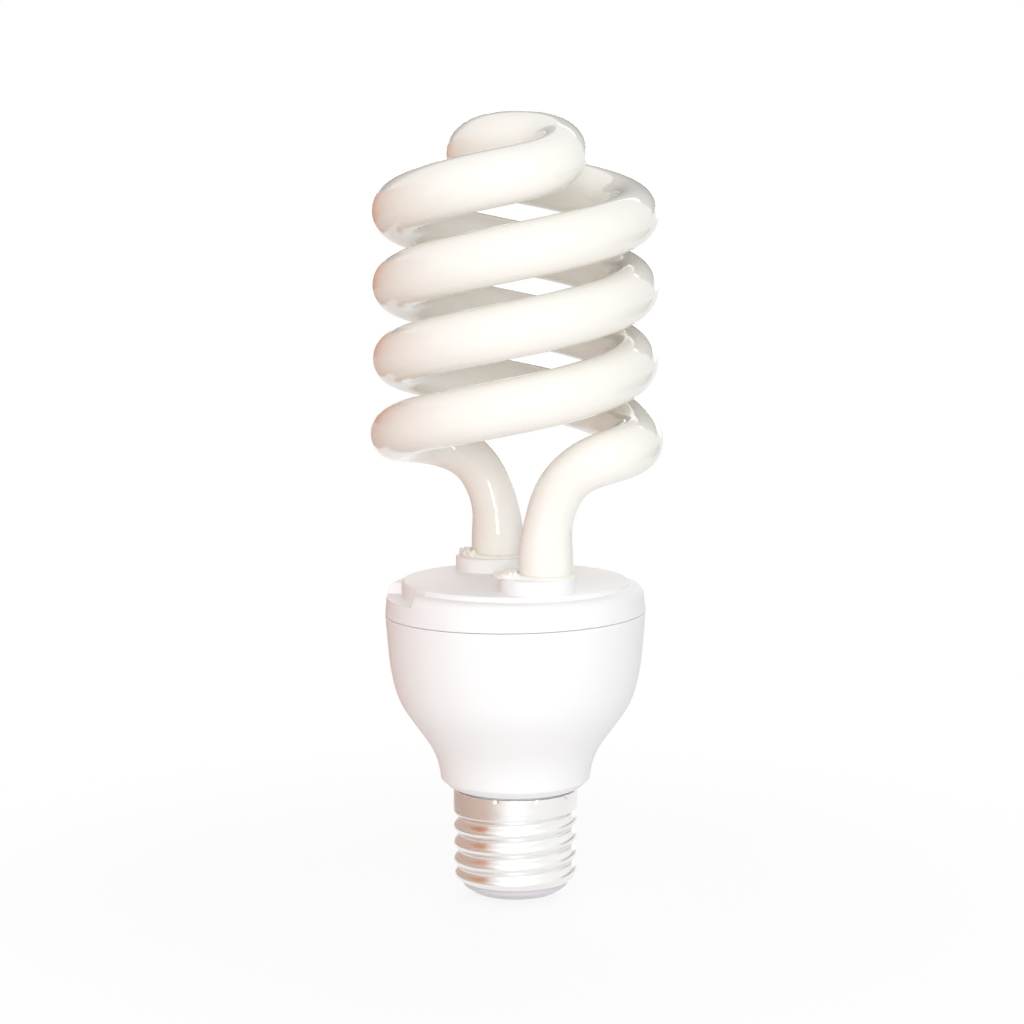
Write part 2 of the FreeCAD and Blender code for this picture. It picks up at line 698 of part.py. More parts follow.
def drive_turns(azimuth):
    """Make one band of turns round the ring of the drive transformer."""
    label = f"drive_turns_{azimuth}"
    depth = "(dim.drive_radius - dim.drive_bore)"
    band = block(f"{label}_band", f"{depth} + 2 * dim.drive_wire", "dim.drive_turn_width",
                 "dim.drive_height + 2 * dim.drive_wire",
                 f"dim.drive_bore + {depth} / 2", "0", "-dim.drive_wire")
    core = cut(f"{label}_core", cylinder(f"{label}_out", "dim.drive_radius", "dim.drive_height"),
               cylinder(f"{label}_in", "dim.drive_bore", "dim.drive_height"))
    turns = cut(label, band, core)
    turns.Placement = Placement(Vector(), Rotation(Vector(0, 0, 1), azimuth))
    return place(turns, DRIVE_X, "0", DRIVE_FOOT)


turn_bands = [drive_turns(azimuth) for azimuth in DRIVE_TURN_AZIMUTHS]
keep("drive_windings", swing(group("drive_windings", *turn_bands), DRIVE_AZIMUTH))

# Switching transistors: flat plastic bodies with a screw hole, near the rim of the board.
for name, azimuth in TRANSISTOR_AZIMUTHS.items():
    inner = "dim.transistor_ring - dim.transistor_depth / 2"
    body = hanging(f"{name}_block", "dim.transistor_depth", "dim.transistor_width",
                   "dim.transistor_height", inner)
    hole = cylinder(f"{name}_hole", "dim.transistor_hole", "2 * dim.transistor_depth")
    hole.Placement = Placement(Vector(), Rotation(Vector(0, 1, 0), 90))
    place(hole, "dim.transistor_ring - dim.transistor_depth", "0",
          "dim.board_height - dim.transistor_height + 2 * dim.transistor_hole")
    keep(name, swing(cut(name, body, hole), azimuth))


def film_capacitor(name, width, inner_radius, azimuth):
    """Make a film capacitor with rounded upright edges."""
    body = hanging(f"{name}_block", "dim.film_depth", width, "dim.film_height", inner_radius)
    doc.recompute()
    rounded = doc.addObject("Part::Fillet", name)
    rounded.Base = body
    upright = [number for number, edge in enumerate(body.Shape.Edges, start=1)
               if abs(edge.tangentAt(edge.FirstParameter).z) > 0.5]
    rounded.Edges = [(number, dim.film_corner, dim.film_corner) for number in upright]
    keep(name, swing(rounded, azimuth))


film_capacitor("resonant_capacitor", "dim.film_width", RING_START, RESONANT_AZIMUTH)
for name, azimuth in SMALL_FILM_AZIMUTHS.items():
    film_capacitor(name, "dim.small_film_width", "dim.small_film_ring - dim.film_depth / 2", azimuth)

# Filter choke: a drum with two flanges.
drum = turned("drum", [
    ("0", "dim.board_height - dim.drum_height", "line"),
    ("dim.drum_radius", "dim.board_height - dim.drum_height", "line"),
    ("dim.drum_radius", "dim.board_height - dim.drum_height + dim.drum_flange", "line"),
    ("dim.drum_core", "dim.board_height - dim.drum_height + dim.drum_flange", "line"),
    ("dim.drum_core", "dim.board_height - dim.drum_flange", "line"),
    ("dim.drum_radius", "dim.board_height - dim.drum_flange", "line"),
    ("dim.drum_radius", "dim.board_height", "line"),
    ("0", "dim.board_height", "line"),
])
DRUM_RING = f"({RING_START} + dim.drum_radius)"
place(drum, f"{DRUM_RING} * cos({DRUM_AZIMUTH})", f"{DRUM_RING} * sin({DRUM_AZIMUTH})")
keep("filter_choke", drum)


def small_parts(name, radius, length, azimuths):
    """Stand equal round parts under the board near its rim."""
    return [cylinder(f"{name}_{azimuth}", radius, length, f"dim.small_part_ring * cos({azimuth})",
                     f"dim.small_part_ring * sin({azimuth})", f"dim.board_height - {length}")
            for azimuth in azimuths]


diodes = small_parts("diode", "dim.diode_radius", "dim.diode_length", DIODE_AZIMUTHS)
keep("rectifier_diodes", group("rectifier_diodes", *diodes))
keep("resistors", group("resistors", *small_parts("resistor", "dim.resistor_radius", "dim.resistor_length",
                                                  RESISTOR_AZIMUTHS)))
keep("trigger_diac", *small_parts("diac", "dim.diac_radius", "dim.diac_length", [DIAC_AZIMUTH]))


def polar(radius, azimuth, height):
    """Return a point by its distance from the axis, azimuth and height."""
    turn = math.radians(azimuth)
    return Vector(radius * math.cos(turn), radius * math.sin(turn), height)


# Fusible resistor on the wire from the end contact to the board.
fuse_top = dim.fuse_height + dim.fuse_length
fuse_ring = dim.can_radius + dim.part_gap
fuse_knee = fuse_top + dim.lead_bend
fuse_wire = swept("fuse_wire", bent_wire([
    Vector(0, 0, dim.contact_height),
    Vector(0, 0, fuse_knee),
    polar(fuse_ring, FUSE_LEAD_AZIMUTH, (fuse_knee + dim.board_height - dim.can_length) / 2),
    polar(fuse_ring, FUSE_LEAD_AZIMUTH, dim.board_height),
], dim.lead_bend), "dim.lead_radius")
fuse_body = cylinder("fuse_body", "dim.fuse_radius", "dim.fuse_length", z="dim.fuse_height")
keep("fusible_resistor", fuse("fusible_resistor", fuse_wire, fuse_body))

# Neutral wire from the board, through the spigot's bore and out to the inside of the cap.
neutral_ring = measure(SPIGOT_BORE) - dim.lead_radius - dim.lead_gap
neutral_run = measure(SPIGOT_END) - dim.lead_radius - dim.lead_gap
keep("neutral_lead", swept("neutral_lead", bent_wire([
    polar(neutral_ring, NEUTRAL_AZIMUTH, dim.board_height),
    polar(neutral_ring, NEUTRAL_AZIMUTH, neutral_run),
    polar(measure("dim.skirt_radius - dim.cap_wall") - dim.lead_gap, NEUTRAL_AZIMUTH, neutral_run),
], dim.lead_radius * 2), "dim.lead_radius"))

# Wrap posts on the board, and the filament wires that come from the tube's ends to them.
posts = []
wires = []
for side, (x, y) in LEGS.items():
    for hand in (-1, 1):
        name = f"{side}_{'left' if hand < 0 else 'right'}"
        posts.append(block(f"{name}_post", "dim.post_width", "dim.post_width", "dim.post_length",
                           f"{x} + {hand} * dim.post_reach", y, BOARD_TOP))
        exit_point = Vector(measure(x) + hand * dim.filament_spread, measure(y), dim.leg_end_height)
        corner = exit_point - Vector(0, 0, dim.filament_drop)
        reach = dim.post_reach - dim.post_width / 2 - dim.filament_spread - dim.lead_gap
        tip = corner + Vector(hand * reach, 0, 0)
        run = bent_wire([exit_point, corner, tip], dim.lead_bend)
        wires.append(swept(f"{name}_wire", run, "dim.lead_radius"))
keep("wire_posts", group("wire_posts", *posts))
keep("filament_leads", group("filament_leads", *wires))

doc.recompute()
for obj in doc.Objects:
    if "Invalid" in obj.State or "Error" in obj.State:
        raise RuntimeError(f"{obj.Label} failed: {obj.State}")
for name, obj in pieces.items():
    if obj.Shape.isNull() or not obj.Shape.isValid() or not obj.Shape.Solids:
        raise RuntimeError(f"{name} has no valid solid")

os.makedirs("parts", exist_ok=True)
for name, obj in pieces.items():
    obj.Shape.exportStep(f"parts/{obj.Label}.step")
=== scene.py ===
"""Looks of a spiral energy saving lamp on a 27 mm screw cap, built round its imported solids.

Sizes are in millimetres in the frame of the solids: the origin is the middle of the end contact,
+Z runs up the lamp's axis and the photograph looks along +Y. Meshes are written in metres.
"""

import logging
import math
from dataclasses import dataclass
from enum import Enum

import bpy
import numpy as np
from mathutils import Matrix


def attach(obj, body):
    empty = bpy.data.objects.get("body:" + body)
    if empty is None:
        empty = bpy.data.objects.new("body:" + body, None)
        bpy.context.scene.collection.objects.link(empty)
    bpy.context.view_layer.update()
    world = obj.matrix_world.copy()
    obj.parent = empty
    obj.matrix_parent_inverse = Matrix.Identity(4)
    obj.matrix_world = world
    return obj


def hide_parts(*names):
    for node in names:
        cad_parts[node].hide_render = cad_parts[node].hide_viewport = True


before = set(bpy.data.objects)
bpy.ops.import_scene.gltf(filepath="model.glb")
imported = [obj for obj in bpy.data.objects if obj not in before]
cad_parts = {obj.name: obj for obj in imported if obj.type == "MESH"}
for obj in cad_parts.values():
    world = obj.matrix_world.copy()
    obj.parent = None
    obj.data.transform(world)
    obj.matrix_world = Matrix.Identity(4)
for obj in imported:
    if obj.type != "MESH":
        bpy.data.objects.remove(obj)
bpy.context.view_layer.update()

LOG = logging.getLogger("spiral_lamp")
BODY = "root"
MM = 0.001
FULL_TURN = 2 * math.pi
QUARTER_TURN = 0.25 * FULL_TURN
UP = np.array([0.0, 0.0, 1.0])

Colour = tuple[float, float, float]
Place = tuple[float, float, float]
Span = tuple[float, float]

# Curves and surfaces

SPLINE_DEGREE = 3
LAST_PLACE = 1.0 - 1e-12  # just inside the last knot
ROUND_MARGIN = 1.1  # points nearer to a rounded corner than this many reaches give way to its round
POLE_RADIUS = 0.05
TOLERANCE = 0.01


class Bend(Enum):
    """How a section goes on from one of its corners to the next."""

    LINE = "straight"
    ARC = "arc that leaves in the direction of the stretch before it"


@dataclass(frozen=True)
class Corner:
    """A corner of a section: radius and height, the stretch after it and the round on it."""

    radius: float
    height: float
    bend: Bend = Bend.LINE
    fillet: float = 0.0


def smooth_step(low: float, high: float, value: np.ndarray) -> np.ndarray:
    """Rise from 0 at low to 1 at high on the curve 3t^2 - 2t^3.

    Args:
        low: Value where the rise starts.
        high: Value where the rise ends.
        value: Values to map.

    Returns:
        The risen values, as many as were given.
    """
    share = np.clip((value - low) / (high - low), 0.0, 1.0)
    return share * share * (3.0 - 2.0 * share)


def spline(poles: np.ndarray, count: int) -> np.ndarray:
    """Evaluate a clamped uniform cubic B-spline: the basis functions of each place times the poles.

    Args:
        poles: Control points, one row each.
        count: Number of places along the curve.

    Returns:
        Points of the curve, one row each.
    """
    inner = np.linspace(0.0, 1.0, len(poles) - SPLINE_DEGREE + 1)
    knots = np.concatenate([np.zeros(SPLINE_DEGREE), inner, np.ones(SPLINE_DEGREE)])
    place = np.linspace(0.0, LAST_PLACE, count)[:, None]
    basis = ((knots[:-1] <= place) & (place < knots[1:])).astype(float)
    for order in range(1, SPLINE_DEGREE + 1):
        rise = knots[order:-1] - knots[:-order - 1]
        fall = knots[order + 1:] - knots[1:-order]
        rising = np.where(rise > 0, (place - knots[:-order - 1]) / np.where(rise > 0, rise, 1), 0)
        falling = np.where(fall > 0, (knots[order + 1:] - place) / np.where(fall > 0, fall, 1), 0)
        basis = rising * basis[:, :-1] + falling * basis[:, 1:]
    return basis @ poles


def even_steps(points: np.ndarray, step: float) -> np.ndarray:
    """Place points at equal distances along a line, by interpolation over its running length.

    Args:
        points: Points of the line, close together.
        step: Distance between the new points.

    Returns:
        The new points, with the line's two ends among them.
    """
    lengths = np.linalg.norm(np.diff(points, axis=0), axis=1)
    run = np.concatenate([[0.0], np.cumsum(lengths)])
    stops = np.linspace(0.0, run[-1], int(round(run[-1] / step)) + 1)
    return np.stack([np.interp(stops, run, points[:, axis]) for axis in range(3)], axis=1)


def arc_points(start: np.ndarray, heading: np.ndarray, stop: np.ndarray, count: int) -> np.ndarray:
    """Follow the arc that leaves a point along a heading and ends at another point.

    The chord's parts along and across the heading give the radius, chord^2 / (2 * across), and the
    sweep, twice the angle between the heading and the chord.

    Args:
        start: Radius and height of the first point.
        heading: Unit direction at the first point.
        stop: Radius and height of the last point.
        count: Number of steps.

    Returns:
        The points after the first.
    """
    chord = stop - start
    normal = np.array([-heading[1], heading[0]])
    radius = chord @ chord / (2 * chord @ normal)
    sweep = 2 * math.atan2(chord @ normal, chord @ heading)
    turn = np.linspace(0.0, sweep, count + 1)[1:, None]
    return start + radius * (normal * (1 - np.cos(turn)) + heading * np.sin(turn))


def section(corners: list[Corner], arc_steps: int = 14, fillet_steps: int = 6,
            line_step: float = 1.2) -> np.ndarray:
    """Draw a closed section: straight stretches, tangent arcs, and rounds that touch both sides.

    Args:
        corners: Corners in order.
        arc_steps: Steps of each arc.
        fillet_steps: Steps of each rounded corner.
        line_step: Longest step on a straight stretch.

    Returns:
        Radius and height of each point, one row each.
    """
    places = np.array([(corner.radius, corner.height) for corner in corners])
    heading = (places[0] - places[-1]) / np.linalg.norm(places[0] - places[-1])
    drawn = [places[:0]]
    for index, corner in enumerate(corners):
        here = places[index]
        following = places[(index + 1) % len(corners)]
        along = (following - here) / np.linalg.norm(following - here)
        leave = heading if corner.bend is Bend.ARC else along
        start = here
        if corner.fillet > 0:
            reach = corner.fillet * math.tan(0.5 * math.acos(np.clip(heading @ leave, -1, 1)))
            start = here + leave * reach
            round_start = here - heading * reach
            apart = np.linalg.norm(drawn[-1] - here, axis=1)
            drawn[-1] = drawn[-1][apart > ROUND_MARGIN * reach]
            drawn.append(round_start[None])
            drawn.append(arc_points(round_start, heading, start, fillet_steps)[:-1])
        if corner.bend is Bend.ARC:
            drawn.append(np.vstack([here, arc_points(here, heading, following, arc_steps)[:-1]]))
            heading = 2 * (heading @ along) * along - heading
        else:
            steps = max(2, math.ceil(np.linalg.norm(following - start) / line_step))
            share = np.linspace(0.0, 1.0, steps, endpoint=False)[:, None]
            drawn.append(start + (following - start) * share)
            heading = along
    first = corners[0]
    if first.fillet > 0:
        apart = np.linalg.norm(drawn[-1] - places[0], axis=1)
        drawn[-1] = drawn[-1][apart > ROUND_MARGIN * first.fillet]
    return np.vstack(drawn)


@dataclass
class Shape:
    """A closed surface: points, its four-sided faces and the triangles round its poles."""

    points: np.ndarray
    quads: np.ndarray
    triangles: np.ndarray

    @staticmethod
    def of_grid(grid: np.ndarray, ring: bool) -> "Shape":
        """Join a grid of points, closed along its columns, into a surface that faces outwards.

        Args:
            grid: Rows by columns of points.
            ring: True if the last row joins the first, False if each end closes in a pole.

        Returns:
            The closed surface.
        """
        rows, columns = grid.shape[:2]
        faced_rows = np.arange(rows if ring else rows - 1)
        row, column = np.meshgrid(faced_rows, np.arange(columns), indexing="ij")
        after_row = (row + 1) % rows
        after_column = (column + 1) % columns
        corners = ((row, column), (row, after_column), (after_row, after_column), (after_row, column))
        quads = np.stack([r * columns + c for r, c in corners], axis=-1).reshape(-1, 4)
        points = grid.reshape(-1, 3)
        triangles = np.empty((0, 3), int)
        if not ring:
            here = np.arange(columns)
            after = np.roll(here, -1)
            end = (rows - 1) * columns
            poles = np.repeat([[len(points)], [len(points) + 1]], columns, axis=1)
            first = np.stack([poles[0], after, here], axis=-1)
            last = np.stack([poles[1], end + here, end + after], axis=-1)
            triangles = np.vstack([first, last])
            points = np.vstack([points, grid[0].mean(axis=0), grid[-1].mean(axis=0)])
        return Shape(points, quads, triangles).outward()

    def outward(self) -> "Shape":
        """Turn the faces round if the volume that they enclose comes out negative.

        The volume is a sixth of the sum of first . (second x third) over the triangles' corners.

        Returns:
            The surface with its faces outwards.
        """
        halves = np.vstack([self.quads[:, [0, 1, 2]], self.quads[:, [0, 2, 3]], self.triangles])
        first, second, third = (self.points[halves[:, corner]] for corner in range(3))
        if np.einsum("ij,ij->", first, np.cross(second, third)) >= 0:
            return self
        return Shape(self.points, self.quads[:, ::-1], self.triangles[:, ::-1])

    def joined(self, other: "Shape") -> "Shape":
        """Hold two surfaces as one shape.

        Args:
            other: The surface to add.

        Returns:
            The shape of both.
        """
        shift = len(self.points)
        points = np.vstack([self.points, other.points])
        quads = np.vstack([self.quads, other.quads + shift])
        triangles = np.vstack([self.triangles, other.triangles + shift])
        return Shape(points, quads, triangles)

    def write(self, name: str, sharp_angle: float) -> bpy.types.Object:
        """Make a mesh object of the shape.

        Args:
            name: Name of the object.
            sharp_angle: Edges that turn by more degrees than this stay sharp.

        Returns:
            The object, at the origin.
        """
        mesh = bpy.data.meshes.new(name)
        mesh.from_pydata((self.points * MM).tolist(), [], self.quads.tolist() + self.triangles.tolist())
        mesh.polygons.foreach_set("use_smooth", np.ones(len(mesh.polygons), bool))
        mesh.set_sharp_from_angle(angle=math.radians(sharp_angle))
        obj = bpy.data.objects.new(name, mesh)
        bpy.context.scene.collection.objects.link(obj)
        return obj


def wrapped(radius: np.ndarray, angle: np.ndarray, height: np.ndarray) -> np.ndarray:
    """Place points round the lamp's axis: (r cos a, r sin a, z).

    Args:
        radius: Distances from the axis, by height and angle or as a column.
        angle: Angles in radians, as a row.
        height: Heights, by height and angle or as a column.

    Returns:
        Grid of points by height and angle.
    """
    return np.stack([radius * np.cos(angle), radius * np.sin(angle), height + 0 * angle], axis=-1)


def turned(profile: np.ndarray, columns: int) -> np.ndarray:
    """Turn a section about the lamp's axis, at even angles.

    Args:
        profile: Radius and height of each point.
        columns: Number of angles.

    Returns:
        Grid of profile points by angles.
    """
    angle = np.linspace(0.0, FULL_TURN, columns, endpoint=False)
    return wrapped(profile[:, :1], angle, profile[:, 1:])


@dataclass(frozen=True)
class Seam:
    """The line where the cover sits on the housing, which lies slightly aslant."""

    height: float = 61.0
    radius: float = 27.5
    rise: float = 0.5
    tilt: float = 0.5
    blend: float = 3.0

    def lift(self, grid: np.ndarray, share: np.ndarray) -> None:
        """Lift points of a grid by share * (rise + tilt * x / radius).

        Args:
            grid: Points, which are changed in place.
            share: How much of the lift each point takes.
        """
        grid[..., 2] += share * (self.rise + self.tilt * grid[..., 0] / self.radius)


# Finishes

MIX_A, MIX_B, MIX_COLOUR = 6, 7, 2
SHADER_A, SHADER_B = 1, 2
CLOUD_DETAIL = 3.0
GRAIN_DETAIL = 2.0
MARKS_DETAIL = 4.0
MARKS_FROM, MARKS_TO = 0.3, 0.7
EVEN_DEPTH = (1.0, 1.0, 1.0)
WHITE = (1.0, 1.0, 1.0, 1.0)


class Nodes:
    """A node tree with short ways to add and link its nodes."""

    def __init__(self, tree: bpy.types.NodeTree) -> None:
        """Take a tree and empty it."""
        self.tree = tree
        tree.nodes.clear()

    def add(self, kind: str, **values: object) -> bpy.types.Node:
        """Add a node.

        Args:
            kind: Type of the node, without the words ShaderNode.
            values: Properties of the node by name.

        Returns:
            The node.
        """
        node = self.tree.nodes.new(kind if kind.startswith("Node") else f"ShaderNode{kind}")
        for name, value in values.items():
            setattr(node, name, value)
        return node

    def feed(self, node: bpy.types.Node, **sources: object) -> bpy.types.Node:
        """Set or link a node's inputs.

        Args:
            node: The node.
            sources: Number, colour, vector or output socket by input name, with _ for a space.

        Returns:
            The same node.
        """
        for name, source in sources.items():
            socket = node.inputs[name.replace("_", " ")]
            if isinstance(source, bpy.types.NodeSocket):
                self.tree.links.new(source, socket)
            else:
                socket.default_value = source
        return node

    def combine(self, operation: str, first: bpy.types.NodeSocket,
                second: bpy.types.NodeSocket) -> bpy.types.NodeSocket:
        """Combine two numbers.

        Args:
            operation: Name of the Math node's operation.
            first: Output that gives the first number.
            second: Output that gives the second number.

        Returns:
            The output with the result.
        """
        node = self.add("Math", operation=operation)
        self.tree.links.new(first, node.inputs[0])
        self.tree.links.new(second, node.inputs[1])
        return node.outputs[0]

    def blend(self, share: bpy.types.NodeSocket, under: bpy.types.NodeSocket,
              over: bpy.types.NodeSocket) -> bpy.types.NodeSocket:
        """Blend two shaders.

        Args:
            share: Share of the second shader.
            under: The first shader.
            over: The second shader.

        Returns:
            The blended shader.
        """
        node = self.feed(self.add("MixShader"), Fac=share)
        self.tree.links.new(under, node.inputs[SHADER_A])
        self.tree.links.new(over, node.inputs[SHADER_B])
        return node.outputs[0]


class Effect(Enum):
    """Surface effects that several finishes share."""

    CLOUD = "cloud_tint"
    GRAIN = "fine_grain"
    MARKS = "handling_marks"


class Socket(Enum):
    """Types of a node group's sockets."""

    VECTOR = "NodeSocketVector"
    NUMBER = "NodeSocketFloat"
    COLOUR = "NodeSocketColor"


def new_group(effect: Effect, inputs: dict[str, Socket], output: str, kind: Socket) -> Nodes:
    """Start a node group with its sockets.

    Args:
        effect: The effect that the group gives.
        inputs: Socket type by input name.
        output: Name of the output.
        kind: Socket type of the output.

    Returns:
        The group's empty tree.
    """
    tree = bpy.data.node_groups.new(effect.value, "ShaderNodeTree")
    for name, socket in inputs.items():
        tree.interface.new_socket(name, in_out="INPUT", socket_type=socket.value)
    tree.interface.new_socket(output, in_out="OUTPUT", socket_type=kind.value)
    return Nodes(tree)


def noise_of(nodes: Nodes, given: bpy.types.NodeOutputs, detail: float) -> bpy.types.NodeSocket:
    """Add noise that follows a group's Vector and Scale.

    Args:
        nodes: The group's nodes.
        given: Outputs of the group's input node.
        detail: Detail of the noise.

    Returns:
        The noise, from 0 to 1.
    """
    noise = nodes.feed(nodes.add("TexNoise"), Vector=given["Vector"], Scale=given["Scale"], Detail=detail)
    return noise.outputs["Fac"]


def build_cloud() -> None:
    """Build soft colour clouds: base and tint, mixed by noise times the amount."""
    inputs = {"Vector": Socket.VECTOR, "Scale": Socket.NUMBER, "Amount": Socket.NUMBER,
              "Base": Socket.COLOUR, "Tint": Socket.COLOUR}
    nodes = new_group(Effect.CLOUD, inputs, "Color", Socket.COLOUR)
    given = nodes.add("NodeGroupInput").outputs
    share = nodes.combine("MULTIPLY", noise_of(nodes, given, CLOUD_DETAIL), given["Amount"])
    mix = nodes.feed(nodes.add("Mix", data_type="RGBA"), Factor=share)
    nodes.tree.links.new(given["Base"], mix.inputs[MIX_A])
    nodes.tree.links.new(given["Tint"], mix.inputs[MIX_B])
    nodes.feed(nodes.add("NodeGroupOutput"), Color=mix.outputs[MIX_COLOUR])


def build_grain() -> None:
    """Build fine relief: the noise itself, as a height."""
    inputs = {"Vector": Socket.VECTOR, "Scale": Socket.NUMBER}
    nodes = new_group(Effect.GRAIN, inputs, "Height", Socket.NUMBER)
    given = nodes.add("NodeGroupInput").outputs
    nodes.feed(nodes.add("NodeGroupOutput"), Height=noise_of(nodes, given, GRAIN_DETAIL))


def build_marks() -> None:
    """Build uneven gloss: noise, spread from the lower roughness to the higher."""
    inputs = {"Vector": Socket.VECTOR, "Scale": Socket.NUMBER, "Low": Socket.NUMBER, "High": Socket.NUMBER}
    nodes = new_group(Effect.MARKS, inputs, "Roughness", Socket.NUMBER)
    given = nodes.add("NodeGroupInput").outputs
    spread = nodes.feed(nodes.add("MapRange"), Value=noise_of(nodes, given, MARKS_DETAIL),
                        From_Min=MARKS_FROM, From_Max=MARKS_TO, To_Min=given["Low"], To_Max=given["High"])
    nodes.feed(nodes.add("NodeGroupOutput"), Roughness=spread.outputs["Result"])


@dataclass(frozen=True)
class Finish:
    """A surface finish: colours, gloss and relief, in metres and cycles per metre."""

    name: str
    slot: str
    base: Colour
    tint: Colour
    roughness: Span
    cloud_scale: float = 60.0
    cloud_amount: float = 0.5
    marks_scale: float = 90.0
    grain_scale: float = 2500.0
    grain_depth: float = 0.00002
    stretch: tuple[float, float, float] = (1.0, 1.0, 1.0)
    metallic: float = 0.0
    specular: float = 0.5
    coat: float = 0.0
    coat_roughness: float = 0.03
    depth_share: float = 0.0
    depth: float = 0.006
    edge_gloss: float = 0.0
    edge_reach: Span = (0.45, 0.95)
    edge_colour: Colour = (0.85, 0.84, 0.83)
    edge_roughness: float = 0.12

    def material(self) -> bpy.types.Material:
        """Make the finish as a material, or give it back if it was made before.

        Returns:
            The material.
        """
        made = bpy.data.materials.get(self.name)
        if made is not None:
            return made
        made = bpy.data.materials.new(self.name)
        made.use_nodes = True
        nodes = Nodes(made.node_tree)
        place = nodes.add("TexCoord").outputs["Object"]
        where = nodes.feed(nodes.add("Mapping"), Vector=place, Scale=self.stretch).outputs["Vector"]
        low, high = self.roughness
        cloud = self.effect(nodes, Effect.CLOUD, where, Scale=self.cloud_scale, Amount=self.cloud_amount,
                            Base=(*self.base, 1.0), Tint=(*self.tint, 1.0))
        marks = self.effect(nodes, Effect.MARKS, where, Scale=self.marks_scale, Low=low, High=high)
        grain = self.effect(nodes, Effect.GRAIN, where, Scale=self.grain_scale)
        bump = nodes.feed(nodes.add("Bump"), Strength=1.0, Distance=self.grain_depth,
                          Height=grain.outputs["Height"])
        shader = nodes.add("BsdfPrincipled")
        nodes.feed(shader, Metallic=self.metallic, Specular_IOR_Level=self.specular)
        nodes.feed(shader, Coat_Weight=self.coat, Coat_Roughness=self.coat_roughness)
        nodes.feed(shader, Subsurface_Weight=self.depth_share, Subsurface_Radius=EVEN_DEPTH,
                   Subsurface_Scale=self.depth)
        nodes.feed(shader, Base_Color=cloud.outputs["Color"], Roughness=marks.outputs["Roughness"],
                   Normal=bump.outputs["Normal"])
        surface = shader.outputs["BSDF"]
        if self.edge_gloss > 0:
            surface = self.glassy_edge(nodes, surface)
        nodes.feed(nodes.add("OutputMaterial"), Surface=surface)
        return made

    def glassy_edge(self, nodes: Nodes, body: bpy.types.NodeSocket) -> bpy.types.NodeSocket:
        """Lay the gloss of clear glass over a surface where it is seen at a shallow angle.

        Args:
            nodes: The material's nodes.
            body: Shader of the surface under the glass.

        Returns:
            The shader with its gloss.
        """
        low, high = self.edge_reach
        facing = nodes.add("LayerWeight").outputs["Facing"]
        share = nodes.feed(nodes.add("MapRange", interpolation_type="SMOOTHSTEP"), Value=facing,
                           From_Min=low, From_Max=high, To_Max=self.edge_gloss)
        gloss = nodes.feed(nodes.add("BsdfAnisotropic"), Color=(*self.edge_colour, 1.0),
                           Roughness=self.edge_roughness)
        return nodes.blend(share.outputs["Result"], body, gloss.outputs[0])

    @staticmethod
    def effect(nodes: Nodes, effect: Effect, where: bpy.types.NodeSocket,
               **values: object) -> bpy.types.Node:
        """Place a shared effect in a material.

        Args:
            nodes: The material's nodes.
            effect: The effect.
            where: Coordinates that the effect follows.
            values: Values of its other inputs.

        Returns:
            The group's node.
        """
        node = nodes.add("Group", node_tree=bpy.data.node_groups[effect.value])
        return nodes.feed(node, Vector=where, **values)


COATED_GLASS = Finish(
    "coated_glass", "coated_glass", (0.945, 0.925, 0.895), (0.955, 0.945, 0.925), (0.42, 0.5),
    cloud_scale=35.0, marks_scale=50.0, grain_scale=300.0, grain_depth=0.000002, specular=0.3,
    coat=1.0, coat_roughness=0.04, depth_share=0.8, edge_gloss=0.9)
CEMENT = Finish(
    "leg_cement", "cement", (0.93, 0.92, 0.87), (0.86, 0.84, 0.78), (0.7, 0.9),
    cloud_scale=400.0, grain_scale=3000.0, grain_depth=0.00012, specular=0.3)
WHITE_PLASTIC = Finish(
    "white_plastic", "white_plastic", (0.93, 0.93, 0.935), (0.90, 0.90, 0.91), (0.34, 0.42),
    grain_scale=4500.0, grain_depth=0.000006)
CAP_METAL = Finish(
    "bright_cap_metal", "cap_metal", (0.94, 0.935, 0.92), (0.86, 0.85, 0.83), (0.24, 0.36),
    cloud_scale=40.0, marks_scale=60.0, grain_scale=160.0, grain_depth=0.00002,
    stretch=(1.0, 1.0, 12.0), metallic=1.0)
CAP_INSULATION = Finish(
    "cap_insulation", "cap_insulation", (0.93, 0.92, 0.95), (0.86, 0.85, 0.89), (0.12, 0.3),
    cloud_scale=200.0, grain_scale=700.0, grain_depth=0.00003, coat=0.4)
CONTACT_METAL = Finish(
    "tinned_contact", "contact_metal", (0.74, 0.73, 0.70), (0.58, 0.56, 0.52), (0.25, 0.45),
    cloud_scale=400.0, grain_scale=900.0, grain_depth=0.00005, metallic=1.0)
BOARD_LAMINATE = Finish(
    "board_laminate", "board_laminate", (0.45, 0.28, 0.12), (0.55, 0.36, 0.17), (0.5, 0.65),
    cloud_scale=500.0, stretch=(1.0, 6.0, 1.0), grain_depth=0.00004)
CAPACITOR_SLEEVE = Finish(
    "capacitor_sleeve", "capacitor_sleeve", (0.012, 0.012, 0.015), (0.03, 0.03, 0.035), (0.25, 0.4),
    grain_depth=0.00001)
FERRITE = Finish(
    "ground_ferrite", "ferrite", (0.035, 0.035, 0.04), (0.07, 0.07, 0.075), (0.55, 0.8),
    cloud_scale=900.0, grain_depth=0.00006)
BOBBIN_PLASTIC = Finish(
    "bobbin_plastic", "bobbin_plastic", (0.03, 0.03, 0.03), (0.05, 0.05, 0.05), (0.4, 0.55))
ENAMELLED_COPPER = Finish(
    "enamelled_copper", "enamelled_copper", (0.55, 0.17, 0.06), (0.75, 0.30, 0.11), (0.22, 0.4),
    cloud_scale=700.0, stretch=(1.0, 1.0, 8.0), grain_scale=500.0, grain_depth=0.00015,
    metallic=1.0, coat=0.5)
BLACK_EPOXY = Finish(
    "black_epoxy", "black_epoxy", (0.02, 0.02, 0.02), (0.035, 0.035, 0.035), (0.45, 0.65),
    grain_depth=0.00004)
